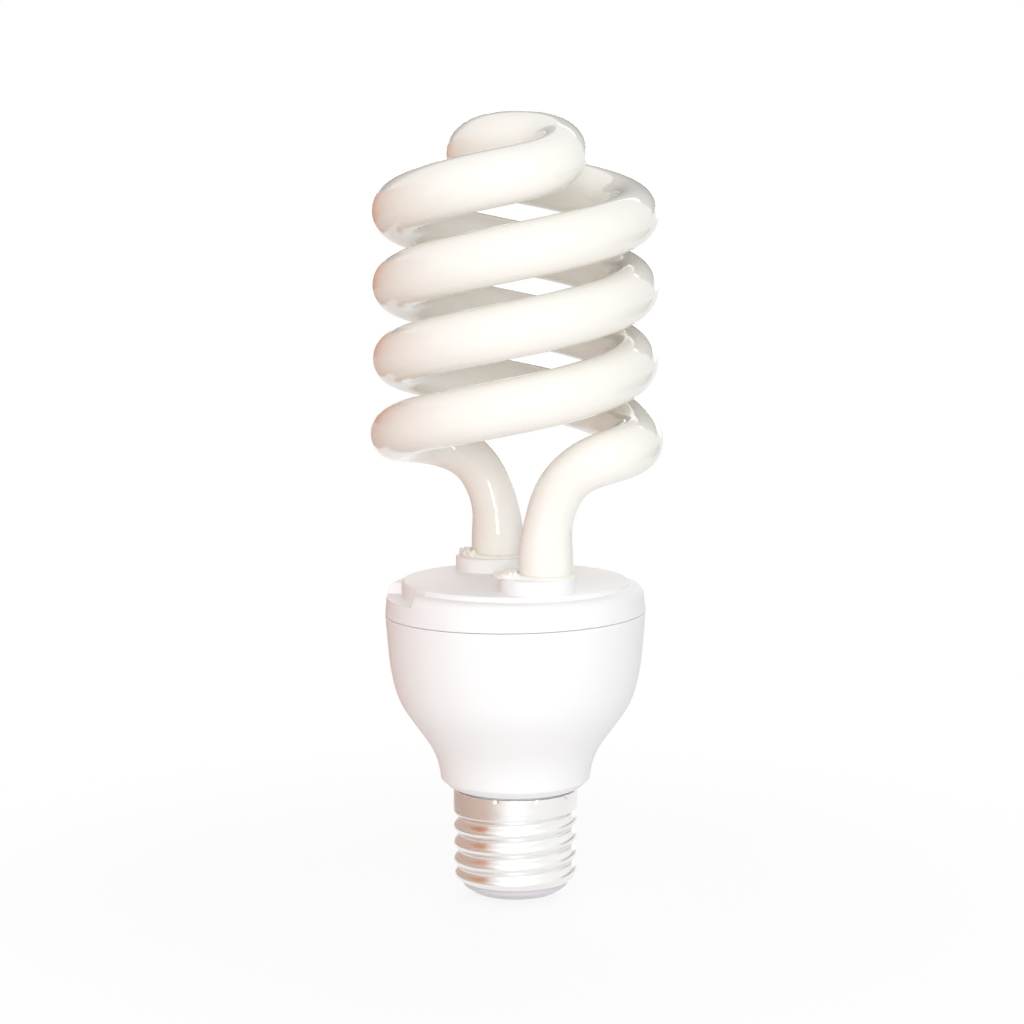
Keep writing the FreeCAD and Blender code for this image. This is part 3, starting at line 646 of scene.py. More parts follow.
FILM_EPOXY = Finish(
    "dipped_epoxy", "film_epoxy", (0.28, 0.035, 0.015), (0.36, 0.055, 0.02), (0.2, 0.32),
    cloud_scale=300.0, coat=0.3)
RESISTOR_BODY = Finish(
    "lacquered_body", "resistor_body", (0.30, 0.42, 0.40), (0.36, 0.48, 0.45), (0.25, 0.4),
    cloud_scale=400.0)
DIAC_GLASS = Finish(
    "diac_body", "diac_glass", (0.05, 0.12, 0.32), (0.08, 0.17, 0.40), (0.08, 0.16), coat=0.6)
TINNED_WIRE = Finish(
    "tinned_wire", "tinned_wire", (0.66, 0.66, 0.64), (0.52, 0.52, 0.50), (0.2, 0.38),
    cloud_scale=800.0, grain_depth=0.00003, metallic=1.0)

INNER_FINISHES = {
    BOARD_LAMINATE: ["ballast_board"],
    CAPACITOR_SLEEVE: ["smoothing_capacitor"],
    FERRITE: ["choke_core", "drive_core", "filter_choke"],
    BOBBIN_PLASTIC: ["choke_bobbin"],
    ENAMELLED_COPPER: ["choke_winding", "drive_windings"],
    BLACK_EPOXY: ["transistor_upper", "transistor_lower", "rectifier_diodes"],
    FILM_EPOXY: ["resonant_capacitor", "blocking_capacitor", "filter_capacitor"],
    RESISTOR_BODY: ["resistors", "fusible_resistor"],
    DIAC_GLASS: ["trigger_diac"],
    TINNED_WIRE: ["neutral_lead", "wire_posts", "filament_leads"],
}


def add_piece(name: str, shape: Shape, finish: Finish, nodes: list[str], sharp_angle: float = 40.0) -> None:
    """Add a piece that stands for solids of the lamp.

    Args:
        name: Name of the piece.
        shape: Its surface.
        finish: Its finish.
        nodes: Names of the solids that it stands for.
        sharp_angle: Edges that turn by more degrees than this stay sharp.
    """
    obj = shape.write(name, sharp_angle)
    obj.data.materials.append(finish.material())
    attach(obj, BODY)
    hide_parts(*nodes)
    LOG.info("%s stands for %s", name, ", ".join(nodes))


# Pieces of the lamp


@dataclass
class GlassTube:
    """The glass tube: two legs, two strands of one helix and the S-shaped bridge over the top."""

    radius: float = 5.7
    coil_radius: float = 24.1
    coil_lead: float = 30.6
    coil_height: float = 99.55
    coil_start: float = 15.6
    coil_end: float = 584.0
    leg_front_x: float = 6.2
    leg_rear_x: float = -3.8
    leg_depth: float = 15.2
    leg_end_height: float = 60.5
    leg_bend_height: float = 75.0
    leg_handle: float = 15.4
    flare_x: float = 18.1
    flare_out: float = 0.5
    flare_drop: float = 1.75
    coil_handle: float = 17.3
    bridge_handle: float = 12.5
    bridge_low_x: float = 9.9
    bridge_inset: float = 2.9
    bridge_low_rise: float = 4.8
    bridge_top_x: float = 9.95
    bridge_top_y: float = 2.0
    bridge_top_rise: float = 11.6
    bend_thinning: float = 0.13
    thinning_start: float = 9.0
    thinning_stop: float = 8.0
    end_round: float = 3.0
    end_closing: float = 0.96
    step: float = 1.0
    columns: int = 48
    coil_samples: int = 1600
    bend_samples: int = 400
    bridge_samples: int = 800

    def coil(self, side: int, angle: np.ndarray) -> np.ndarray:
        """Follow a strand of the coil: (R cos a, R sin a) times its side, rising by the lead each turn.

        Args:
            side: 1 for the strand of the front leg, -1 for the other.
            angle: Angles in degrees.

        Returns:
            Points, one row each.
        """
        turn = np.radians(angle)
        across = side * self.coil_radius
        height = self.coil_height + self.coil_lead * angle / 360.0
        return np.stack([across * np.cos(turn), across * np.sin(turn), height], axis=-1)

    def coil_heading(self, side: int, angle: float) -> np.ndarray:
        """Give the direction in which a strand rises: (-R sin a, R cos a, lead / full turn).

        Args:
            side: 1 for the strand of the front leg, -1 for the other.
            angle: Angle in degrees.

        Returns:
            The direction, of length 1.
        """
        turn = math.radians(angle)
        across = side * self.coil_radius
        heading = np.array([-across * math.sin(turn), across * math.cos(turn), self.coil_lead / FULL_TURN])
        return heading / np.linalg.norm(heading)

    def strand(self, side: int, foot_x: float) -> np.ndarray:
        """Follow one strand: its upright leg, the spline that flares out of it and its coil.

        Args:
            side: 1 for the strand of the front leg, -1 for the other.
            foot_x: Place of the leg along X.

        Returns:
            Points from the leg's end to the coil's end, one row each.
        """
        foot_y = -side * self.leg_depth
        leg_end = np.array([foot_x, foot_y, self.leg_end_height])
        leg_bend = np.array([foot_x, foot_y, self.leg_bend_height])
        flare_y = -side * (self.coil_radius + self.flare_out)
        coil_foot = self.coil(side, np.array([self.coil_start]))[0]
        poles = np.array([
            leg_bend,
            leg_bend + self.leg_handle * UP,
            (side * self.flare_x, flare_y, self.coil_height - self.flare_drop),
            coil_foot - self.coil_heading(side, self.coil_start) * self.coil_handle,
            coil_foot,
        ])
        coil = self.coil(side, np.linspace(self.coil_start, self.coil_end, self.coil_samples))
        return np.vstack([leg_end, spline(poles, self.bend_samples), coil[1:]])

    def bridge(self) -> np.ndarray:
        """Follow the bridge: a spline whose second half is its first, turned half round the axis.

        Returns:
            Points from the front strand's end to the other's, one row each.
        """
        end = self.coil(1, np.array([self.coil_end]))[0]
        half = np.array([
            end,
            end + self.coil_heading(1, self.coil_end) * self.bridge_handle,
            (self.bridge_low_x, self.bridge_inset - self.coil_radius, end[2] + self.bridge_low_rise),
            (self.bridge_top_x, -self.bridge_top_y, end[2] + self.bridge_top_rise),
        ])
        return spline(np.vstack([half, half[::-1] * (-1.0, -1.0, 1.0)]), self.bridge_samples)

    def radius_at(self, height: np.ndarray) -> np.ndarray:
        """Work out the tube's radius at heights of its path.

        It is smaller by the thinning where the legs were bent, between the leg and the coil, and draws
        in to a round end in the cover as sqrt(1 - closing * (1 - t)^2), with t from 0 to 1 over the end.

        Args:
            height: Heights.

        Returns:
            The radii, as many as the heights.
        """
        bend = smooth_step(self.leg_bend_height, self.leg_bend_height + self.thinning_start, height)
        bend *= 1 - smooth_step(self.coil_height - self.thinning_stop, self.coil_height, height)
        end = np.clip((height - self.leg_end_height) / self.end_round, 0.0, 1.0)
        closing = np.sqrt(1 - self.end_closing * (1 - end) ** 2)
        return self.radius * (1 - self.bend_thinning * bend) * closing

    def surface(self) -> Shape:
        """Carry a circle along the tube's path: p + r (n cos b + m sin b).

        The side n of each circle is the direction away from the lamp's axis near the legs and the
        lamp's axis near the bridge, less its part along the path, and m is square to both.

        Returns:
            The tube's surface.
        """
        front = self.strand(1, self.leg_front_x)
        rear = self.strand(-1, self.leg_rear_x)[::-1]
        path = even_steps(np.vstack([front, self.bridge()[1:-1], rear]), self.step)
        along = np.gradient(path, axis=0)
        along /= np.linalg.norm(along, axis=1, keepdims=True)
        outward = path * (1.0, 1.0, 0.0)
        upright = smooth_step(self.coil_height, self.coil_height + self.coil_lead, path[:, 2:])
        side = outward / self.coil_radius * (1 - upright) + upright * UP
        side -= along * np.sum(side * along, axis=1, keepdims=True)
        side /= np.linalg.norm(side, axis=1, keepdims=True)
        across = np.cross(along, side)
        turn = np.linspace(0.0, FULL_TURN, self.columns, endpoint=False)[None, :, None]
        circle = side[:, None] * np.cos(turn) + across[:, None] * np.sin(turn)
        radius = self.radius_at(path[:, 2])
        return Shape.of_grid(path[:, None] + radius[:, None, None] * circle, ring=False)

    def dress(self) -> None:
        """Add the tube in its coated glass."""
        add_piece("glass_spiral", self.surface(), COATED_GLASS, ["discharge_tube"])


@dataclass
class TubeCover:
    """The moulded cover: a raised disc, a shoulder with one notch, an inner skirt and two leg collars."""

    disc_radius: float = 24.0
    disc_height: float = 68.4
    disc_thickness: float = 1.8
    disc_round: float = 0.6
    disc_foot_round: float = 0.25
    shoulder_height: float = 67.3
    shoulder_corner: float = 2.0
    shoulder_margin: float = 0.3
    radius: float = 27.2
    flare: float = 0.35
    seam_gap: float = 0.13
    foot_round: float = 0.15
    skirt_radius: float = 25.05
    skirt_foot: float = 57.0
    skirt_round: float = 0.3
    wall: float = 1.6
    notch_azimuth: float = 196.5
    notch_angle: float = 43.0
    notch_height: float = 65.0
    notch_edge: float = 0.5
    notch_edge_columns: int = 7
    collar_front_x: float = 4.5
    collar_rear_x: float = -5.0
    collar_radius: float = 7.9
    collar_height: float = 3.0
    collar_round: float = 0.45
    collar_columns: int = 128
    leg_hole: float = 5.95
    columns: int = 240
    line_step: float = 0.6

    @property
    def foot_height(self) -> float:
        """Give the height of the cover's foot, just over the seam."""
        return Seam.height + self.seam_gap

    @property
    def collar_top(self) -> float:
        """Give the height of the collars' tops, where the cement lies."""
        return self.disc_height + self.collar_height

    def outline(self) -> np.ndarray:
        """Draw the section of the cover, from the top of the disc round to its underside.

        Returns:
            Radius and height of each point, one row each.
        """
        inner = self.skirt_radius - self.wall
        under = self.disc_height - self.disc_thickness
        return section([
            Corner(POLE_RADIUS, self.disc_height),
            Corner(self.disc_radius, self.disc_height, fillet=self.disc_round),
            Corner(self.disc_radius, self.shoulder_height, fillet=self.disc_foot_round),
            Corner(self.radius - self.shoulder_corner, self.shoulder_height, Bend.ARC),
            Corner(self.radius, self.shoulder_height - self.shoulder_corner),
            Corner(self.radius + self.flare, self.foot_height, fillet=self.foot_round),
            Corner(self.skirt_radius, self.foot_height),
            Corner(self.skirt_radius, self.skirt_foot, fillet=self.skirt_round),
            Corner(inner, self.skirt_foot, fillet=self.skirt_round),
            Corner(inner, under),
            Corner(POLE_RADIUS, under),
        ], line_step=self.line_step)

    def shell(self, tube: GlassTube) -> Shape:
        """Turn the cover's section; over the notch, its shoulder is pressed down to the notch's floor.

        The edges of the notch get columns of their own, and the cover's foot follows the seam.

        Args:
            tube: The glass tube, which gives the places of the legs.

        Returns:
            The cover's surface with its collars.
        """
        profile = self.outline()
        half = 0.5 * self.notch_angle
        fine = np.linspace(-self.notch_edge, self.notch_edge, self.notch_edge_columns)
        edges = [self.notch_azimuth + side * half + fine for side in (-1, 1)]
        angle = np.sort(np.concatenate([np.arange(self.columns) * 360.0 / self.columns, *edges]))
        apart = np.abs((angle - self.notch_azimuth + 180.0) % 360.0 - 180.0)
        open_share = 1 - smooth_step(half - self.notch_edge, half + self.notch_edge, apart)
        radius, height = profile[:, :1], profile[:, 1:]
        beside_disc = radius > self.disc_radius - TOLERANCE
        on_shoulder = beside_disc & (height < self.shoulder_height + self.shoulder_margin)
        drop = np.where(on_shoulder, np.maximum(height - self.notch_height, 0.0), 0.0) * open_share
        grid = wrapped(radius, np.radians(angle), height - drop)
        seam = Seam()
        outer = (radius > self.skirt_radius - TOLERANCE) & (height > self.foot_height - TOLERANCE)
        seam.lift(grid, outer * (1 - smooth_step(self.foot_height, self.foot_height + seam.blend, height)))
        shape = Shape.of_grid(grid, ring=False)
        shape = shape.joined(self.collar(self.collar_front_x, tube.leg_front_x, -tube.leg_depth))
        return shape.joined(self.collar(self.collar_rear_x, tube.leg_rear_x, tube.leg_depth))

    def collar(self, centre_x: float, foot_x: float, y: float) -> Shape:
        """Carry the collar's section round its leg; the inner wall is centred on the leg.

        Args:
            centre_x: Middle of the collar along X.
            foot_x: Middle of the leg along X.
            y: Middle of both along Y.

        Returns:
            The collar's surface.
        """
        under = self.disc_height - self.disc_thickness
        profile = section([
            Corner(self.leg_hole, under),
            Corner(self.collar_radius, under),
            Corner(self.collar_radius, self.collar_top, fillet=self.collar_round),
            Corner(self.leg_hole, self.collar_top),
        ])
        grid = turned(profile, self.collar_columns)
        outer_share = (profile[:, 0] - self.leg_hole) / (self.collar_radius - self.leg_hole)
        grid[..., 0] += (foot_x + (centre_x - foot_x) * outer_share)[:, None]
        grid[..., 1] += y
        return Shape.of_grid(grid, ring=True)

    def dress(self, tube: GlassTube) -> None:
        """Add the cover in its white plastic."""
        add_piece("leg_cover", self.shell(tube), WHITE_PLASTIC, ["tube_cover"], sharp_angle=30.0)


@dataclass
class LegCement:
    """A bead of cement round a leg, with the crumbs that were pressed out on one side of it."""

    name: str
    node: str
    x: float
    y: float
    lump_azimuth: float
    lump_spread: float
    lump_reach: float
    seed: int
    leg_radius: float = GlassTube.radius
    inset: float = 0.25
    seat_height: float = TubeCover().collar_top
    foot_share: float = 0.2
    bead_width: float = 1.1
    bead_height: float = 0.6
    lump_height: float = 0.8
    crumb_count: int = 44
    crumb_size: float = 0.5
    crumb_depth: float = 0.95
    crumb_spread: float = 0.9
    crumb_reach: Span = (0.1, 1.0)
    outward_share: float = 0.6
    grit_size: float = 0.22
    grit_depth: float = 0.09
    grit_count: int = 900
    lifted_part: Span = (-0.2, 0.3)
    columns: int = 260
    rows: int = 48

    def surface(self) -> Shape:
        """Carry a flattened half ellipse round the leg and swell it into crumbs.

        At the angle a round the leg and b round the section, r = R - inset + (w/2) (1 + cos b) and
        z = seat + h sin b, with the lower half flattened. Width w and height h grow at the lump by a
        bell curve of a. Each crumb then lifts the points near its middle by a bell curve of their
        distance, away from the section's middle and upwards, and so does the grit.

        Returns:
            The bead's surface.
        """
        rng = np.random.default_rng(self.seed)
        angle = np.linspace(0.0, FULL_TURN, self.columns, endpoint=False)
        round_section = np.linspace(0.0, FULL_TURN, self.rows, endpoint=False)[:, None]
        turn = math.radians(self.lump_azimuth)
        spread = math.radians(self.lump_spread)
        lump = np.exp(-(np.angle(np.exp(1j * (angle - turn))) / spread) ** 2)
        width = self.bead_width + self.lump_reach * lump
        height = self.bead_height + self.lump_height * lump
        rise = np.sin(round_section)
        rise = np.where(rise < 0, self.foot_share * rise, rise)
        radius = self.leg_radius - self.inset + 0.5 * width * (1 + np.cos(round_section))
        grid = wrapped(radius, angle, self.seat_height + height * rise)
        away = grid - wrapped(radius.mean(axis=0), angle, self.seat_height)
        away /= np.linalg.norm(away, axis=-1, keepdims=True)
        away = self.outward_share * away + (1 - self.outward_share) * UP
        azimuth = turn + spread * rng.uniform(-self.crumb_spread, self.crumb_spread, self.crumb_count)
        share = rng.uniform(*self.crumb_reach, self.crumb_count)
        reach = self.leg_radius + share * (self.bead_width + self.lump_reach)
        crumb_height = self.seat_height + rng.uniform(0.0, self.lump_height, self.crumb_count)
        crumbs = wrapped(reach, azimuth, crumb_height)
        grit = grid.reshape(-1, 3)[rng.integers(0, self.rows * self.columns, self.grit_count)]
        lift = self.crumb_depth * self.bells(grid, crumbs, self.crumb_size).max(axis=-1)
        lift += self.grit_depth * self.bells(grid, grit, self.grit_size).max(axis=-1)
        lift *= smooth_step(*self.lifted_part, np.sin(round_section))
        grid = grid + lift[..., None] * away + np.array([self.x, self.y, 0.0])
        return Shape.of_grid(grid.transpose(1, 0, 2), ring=True)

    @staticmethod
    def bells(grid: np.ndarray, centres: np.ndarray, size: float) -> np.ndarray:
        """Give each point's bell curve exp(-(d / size)^2) of its distance d from each centre."""
        apart = np.linalg.norm(grid[:, :, None] - centres, axis=-1)
        return np.exp(-(apart / size) ** 2)

    def dress(self) -> None:
        """Add the bead in its cement."""
        add_piece(self.name, self.surface(), CEMENT, [self.node], sharp_angle=60.0)


@dataclass
class BallastHousing:
    """The moulded bell under the cover, with a spigot that holds the cap."""

    rim_radius: float = TubeCover.radius + TubeCover.flare
    rim_height: float = Seam.height
    rim_round: float = 0.15
    bore: float = 25.2
    bore_round: float = 0.25
    ledge_height: float = 51.5
    taper_radius: float = 26.9
    taper_height: float = 53.3
    brow_radius: float = 25.7
    brow_height: float = 46.0
    slope_radius: float = 22.8
    slope_height: float = 39.7
    waist_radius: float = 19.0
    waist_height: float = 34.4
    neck_radius: float = 15.9
    neck_height: float = 25.85
    neck_round: float = 0.7
    nose_radius: float = 14.15
    nose_height: float = 24.3
    nose_round: float = 0.25
    spigot_radius: float = 12.0
    spigot_bore: float = 11.3
    spigot_foot: float = 19.2
    wall: float = 2.2
    columns: int = 240

    def surface(self) -> Shape:
        """Turn the bell's section: down its outside, up its inside. Its rim follows the seam.

        Returns:
            The housing's surface.
        """
        profile = section([
            Corner(self.bore, self.rim_height, fillet=self.bore_round),
            Corner(self.rim_radius, self.rim_height, fillet=self.rim_round),
            Corner(self.taper_radius, self.taper_height, Bend.ARC),
            Corner(self.brow_radius, self.brow_height, Bend.ARC),
            Corner(self.slope_radius, self.slope_height),
            Corner(self.waist_radius, self.waist_height, Bend.ARC),
            Corner(self.neck_radius, self.neck_height, fillet=self.neck_round),
            Corner(self.nose_radius, self.nose_height, fillet=self.nose_round),
            Corner(self.spigot_radius, self.nose_height),
            Corner(self.spigot_radius, self.spigot_foot),
            Corner(self.spigot_bore, self.spigot_foot),
            Corner(self.spigot_bore, self.neck_height),
            Corner(self.neck_radius - self.wall, self.neck_height + self.wall),
            Corner(self.waist_radius - self.wall, self.waist_height),
            Corner(self.slope_radius - self.wall, self.slope_height),
            Corner(self.brow_radius - self.wall, self.brow_height),
            Corner(self.brow_radius - self.wall, self.ledge_height),
            Corner(self.bore, self.ledge_height),
        ])
        grid = turned(profile, self.columns)
        seam = Seam()
        seam.lift(grid, smooth_step(seam.height - seam.blend, seam.height, profile[:, 1:]))
        return Shape.of_grid(grid, ring=True)

    def dress(self) -> None:
        """Add the housing in its white plastic."""
        add_piece("bell_housing", self.surface(), WHITE_PLASTIC, ["ballast_housing"], sharp_angle=30.0)


@dataclass
class ScrewCap:
    """The rolled metal cap: a plain skirt with punch marks, a rounded thread and a drawn-in end."""

    top: float = 23.6
    skirt_radius: float = 13.2
    skirt_foot: float = 18.62
    skirt_tilt: float = 0.5
    skirt_tilt_azimuth: float = -45.0
    skirt_step: float = 0.42
    crest_radius: float = 13.15
    thread_depth: float = 1.05
    crest_sharpness: float = 0.75
    pitch: float = 3.629
    front_crest: float = 16.1
    end_start: float = 5.6
    end_height: float = 3.8
    end_radius: float = 11.55
    fade_margin: float = 0.5
    sheet: float = 0.35
    punch_count: int = 10
    punch_azimuth: float = -71.6
    punch_height: float = 23.3
    punch_depth: float = 0.28
    punch_width: float = 0.34
    lip_round: float = 0.12
    columns: int = 360
    outer_rows: int = 180
    inner_rows: int = 24

    def punch_marks(self, height: np.ndarray, angle: np.ndarray) -> np.ndarray:
        """Work out the depth of the punch marks: a bell curve round each of even places.

        Args:
            height: Heights, as a column.
            angle: Angles in radians, as a row.

        Returns:
            Depth by height and angle.
        """
        space = FULL_TURN / self.punch_count
        past_mark = angle - math.radians(self.punch_azimuth) + 0.5 * space
        beside = (np.mod(past_mark, space) - 0.5 * space) * self.skirt_radius / self.punch_width
        above = (height - self.punch_height) / self.punch_width
        return self.punch_depth * np.exp(-beside ** 2 - above ** 2)

    def radius_at(self, height: np.ndarray, angle: np.ndarray) -> np.ndarray:
        """Work out the outer radius of the cap at heights and angles.

        The thread is a wave of the height less the pitch for each turn; it runs into the step of the
        skirt, whose edge is slightly aslant, and into the drawn-in end, a quarter of an ellipse.

        Args:
            height: Heights, as a column.
            angle: Angles in radians, as a row.

        Returns:
            Radius by height and angle.
        """
        phase = (height - self.front_crest) / self.pitch - (angle + QUARTER_TURN) / FULL_TURN
        wave = (0.5 + 0.5 * np.cos(FULL_TURN * phase)) ** self.crest_sharpness
        depth = self.thread_depth * smooth_step(self.end_height, self.end_start + self.fade_margin, height)
        draw = np.clip((self.end_start - height) / (self.end_start - self.end_height), 0.0, 1.0)
        crest = self.crest_radius - (self.crest_radius - self.end_radius) * (1 - np.sqrt(1 - draw ** 2))
        threaded = crest - depth * (1 - wave)
        edge = self.skirt_foot + self.skirt_tilt * np.cos(angle - math.radians(self.skirt_tilt_azimuth))
        skirt = smooth_step(edge - self.skirt_step, edge + self.skirt_step, height)
        radius = threaded * (1 - skirt) + self.skirt_radius * skirt
        return radius - self.punch_marks(height, angle)

    def surface(self) -> Shape:
        """Wrap the outer radius into a shell of sheet metal, down its outside and up its inside.

        Returns:
            The cap's surface.
        """
        angle = np.linspace(0.0, FULL_TURN, self.columns, endpoint=False)
        brim = self.top - self.lip_round
        down = np.linspace(brim, self.end_height, self.outer_rows)[:, None]
        up = np.linspace(self.end_height + self.sheet, brim, self.inner_rows)[:, None]
        outside = self.radius_at(down, angle)
        inside = self.radius_at(up, angle) - self.sheet
        lip = np.full((1, self.columns), self.skirt_radius - self.lip_round)
        radius = np.vstack([outside, inside, lip - self.sheet + 2 * self.lip_round, lip])
        height = np.vstack([down, up, [[self.top]], [[self.top]]])
        return Shape.of_grid(wrapped(radius, angle, height), ring=True)

    def dress(self) -> None:
        """Add the cap in its bright metal."""
        add_piece("threaded_cap", self.surface(), CAP_METAL, ["screw_cap"], sharp_angle=70.0)


@dataclass
class EndContact:
    """The tinned contact at the end of the cap."""

    face_radius: float = 4.0
    face_round: float = 0.5
    radius: float = 4.7
    edge_height: float = 0.55
    edge_round: float = 0.25
    height: float = 0.9
    line_step: float = 0.5
    columns: int = 96

    def surface(self) -> Shape:
        """Turn the contact's section, from the middle of its face out and back over its top.

        Returns:
            The contact's surface.
        """
        profile = section([
            Corner(POLE_RADIUS, 0.0),
            Corner(self.face_radius, 0.0, fillet=self.face_round),
            Corner(self.radius, self.edge_height, fillet=self.edge_round),
            Corner(self.radius, self.height),
            Corner(POLE_RADIUS, self.height),
        ], line_step=self.line_step)
        return Shape.of_grid(turned(profile, self.columns), ring=False)

    def dress(self) -> None:
        """Add the contact in its tinned metal."""
        add_piece("end_contact", self.surface(), CONTACT_METAL, ["centre_contact"])


@dataclass
class EndInsulation:
    """The pale insulation that fills the end of the cap round the wire of the contact."""

    bore: float = 0.45
    foot: float = EndContact.height
    seat_radius: float = EndContact.radius
    seat_round: float = 0.15
    slope_radius: float = 9.45
    slope_height: float = 1.35
    slope_round: float = 0.9
    radius: float = 11.3
    rim_height: float = 2.7
    rim_round: float = 0.7
    flare_foot: float = 4.2
    flare_top: float = 5.8
    top_radius: float = 12.35
    top: float = 5.9
    columns: int = 144

    def surface(self) -> Shape:
        """Turn the insulation's section, from the contact's seat out to the rim and back over the top.

        Returns:
            The insulation's surface.
        """
        profile = section([
            Corner(self.bore, self.foot),
            Corner(self.seat_radius, self.foot, fillet=self.seat_round),
            Corner(self.slope_radius, self.slope_height, fillet=self.slope_round),
            Corner(self.radius, self.rim_height, fillet=self.rim_round),
            Corner(self.radius, self.flare_foot),
            Corner(self.top_radius, self.flare_top),
            Corner(self.top_radius, self.top),
            Corner(self.bore, self.top),
        ])
        return Shape.of_grid(turned(profile, self.columns), ring=True)

    def dress(self) -> None:
        """Add the insulation in its pale glaze."""
        add_piece("end_insulation", self.surface(), CAP_INSULATION, ["cap_insulator"])


def dress_inner_parts() -> None:
    """Give the solids inside the housing their finishes."""
    for finish, names in INNER_FINISHES.items():
        for name in names:
            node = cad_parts[name]
            node.data.materials.clear()
            node.data.materials.append(finish.material())
            LOG.info("%s has the finish %s", name, finish.name)


# Stage, light and camera


@dataclass(frozen=True)
class Softbox:
    """A soft lamp with a flat face; lengths in metres, power in watts."""

    name: str
    place: Place
    size: Span
    power: float
    colour: Colour

    def hang(self, aim: Place) -> None:
        """Hang the lamp so that it faces a place.

        Args:
            aim: The place.
        """
        light = bpy.data.lights.new(self.name, "AREA")
        light.shape = "RECTANGLE"
        light.size, light.size_y = self.size
        light.energy = self.power
        light.color = self.colour
        lamp = bpy.data.objects.new(self.name, light)
        lamp.location = self.place
        away = np.array(self.place) - np.array(aim)
        tilt = math.acos(away[2] / np.linalg.norm(away))
        lamp.rotation_euler = (tilt, 0.0, math.atan2(away[1], away[0]) + QUARTER_TURN)
        bpy.context.scene.collection.objects.link(lamp)


FLASH_WHITE = (1.0, 0.99, 0.975)
LAMPS = (
    Softbox("front_softbox", (0.3, -1.1, 0.72), (0.9, 0.9), 2.7, FLASH_WHITE),
    Softbox("camera_flash", (0.0, -1.2, 0.24), (0.25, 0.25), 3.0, FLASH_WHITE),
    Softbox("high_flash", (0.0, -1.2, 0.50), (0.2, 0.2), 1.0, FLASH_WHITE),
    Softbox("back_softbox", (0.25, 1.2, 0.55), (0.9, 0.9), 5.0, (1.0, 0.98, 0.96)),
    Softbox("strip", (-0.45, -0.85, 0.95), (0.05, 0.35), 0.6, (1.0, 1.0, 1.0)),
)


def place_sheet(name: str, corners: list[Place], material: bpy.types.Material) -> bpy.types.Object:
    """Put a flat four-cornered sheet on the stage.

    Args:
        name: Name of the sheet.
        corners: Its corners in order.
        material: Its material.

    Returns:
        The sheet.
    """
    mesh = bpy.data.meshes.new(name)
    mesh.from_pydata(corners, [], [(0, 1, 2, 3)])
    mesh.materials.append(material)
    sheet = bpy.data.objects.new(name, mesh)
    bpy.context.scene.collection.objects.link(sheet)
    return sheet


class Axis(Enum):
    """The axis that a card is square to, by its number."""

    X = 0
    Y = 1
    Z = 2


@dataclass(frozen=True)
class Card:
    """A matt card out of the picture, which shows only in its light; lengths in metres.

    The two spans run along the other axes in the order X, Y, Z. A card that is for gloss only shows
    in reflections and sends no other light.
    """

    name: str
    axis: Axis
    place: float
    first_span: Span
    second_span: Span
    colour: Colour
    gloss_only: bool = True

    def corners(self) -> list[Place]:
        """Give the corners in order: a pair from the two spans, with the card's place put in between.

        Returns:
            The four corners.
        """
        start, stop = self.first_span
        low, high = self.second_span
        pairs = ((start, low), (stop, low), (stop, high), (start, high))
        split = self.axis.value
        return [(*pair[:split], self.place, *pair[split:]) for pair in pairs]

    def stand(self) -> None:
        """Put the card on the stage, unseen by the camera."""
        material = bpy.data.materials.new(self.name)
        material.use_nodes = True
        nodes = Nodes(material.node_tree)
        matt = nodes.feed(nodes.add("BsdfDiffuse"), Color=(*self.colour, 1.0))
        nodes.feed(nodes.add("OutputMaterial"), Surface=matt.outputs[0])
        card = place_sheet(self.name, self.corners(), material)
        card.visible_camera = False
        card.visible_diffuse = not self.gloss_only
        card.visible_shadow = not self.gloss_only


GROUND_CARD_HEIGHT = 0.001
PALE_CLAY = (0.76, 0.60, 0.52)
CARDS = (
    Card("warm_card", Axis.X, -0.14, (-0.05, 0.45), (0.0, 0.19), (0.64, 0.29, 0.17), gloss_only=False),
    Card("warm_gloss", Axis.X, -0.13, (-0.05, 0.50), (0.1, 0.19), (0.70, 0.22, 0.07)),
    Card("low_gloss", Axis.X, -0.12, (-0.15, 0.30), (0.0, 0.1), PALE_CLAY),
    Card("warm_ground", Axis.Z, GROUND_CARD_HEIGHT, (-0.11, -0.03), (-0.09, -0.005), PALE_CLAY),
    Card("brown_ground", Axis.Z, GROUND_CARD_HEIGHT, (-0.20, -0.04), (-0.005, 0.14), (0.66, 0.57, 0.53)),
    Card("grey_card", Axis.X, 0.26, (0.0, 0.35), (0.0, 0.09), (0.6, 0.6, 0.6), gloss_only=False),
    Card("high_card", Axis.Y, 0.62, (-0.55, 0.55), (0.25, 0.62), (0.07, 0.07, 0.07)),
)


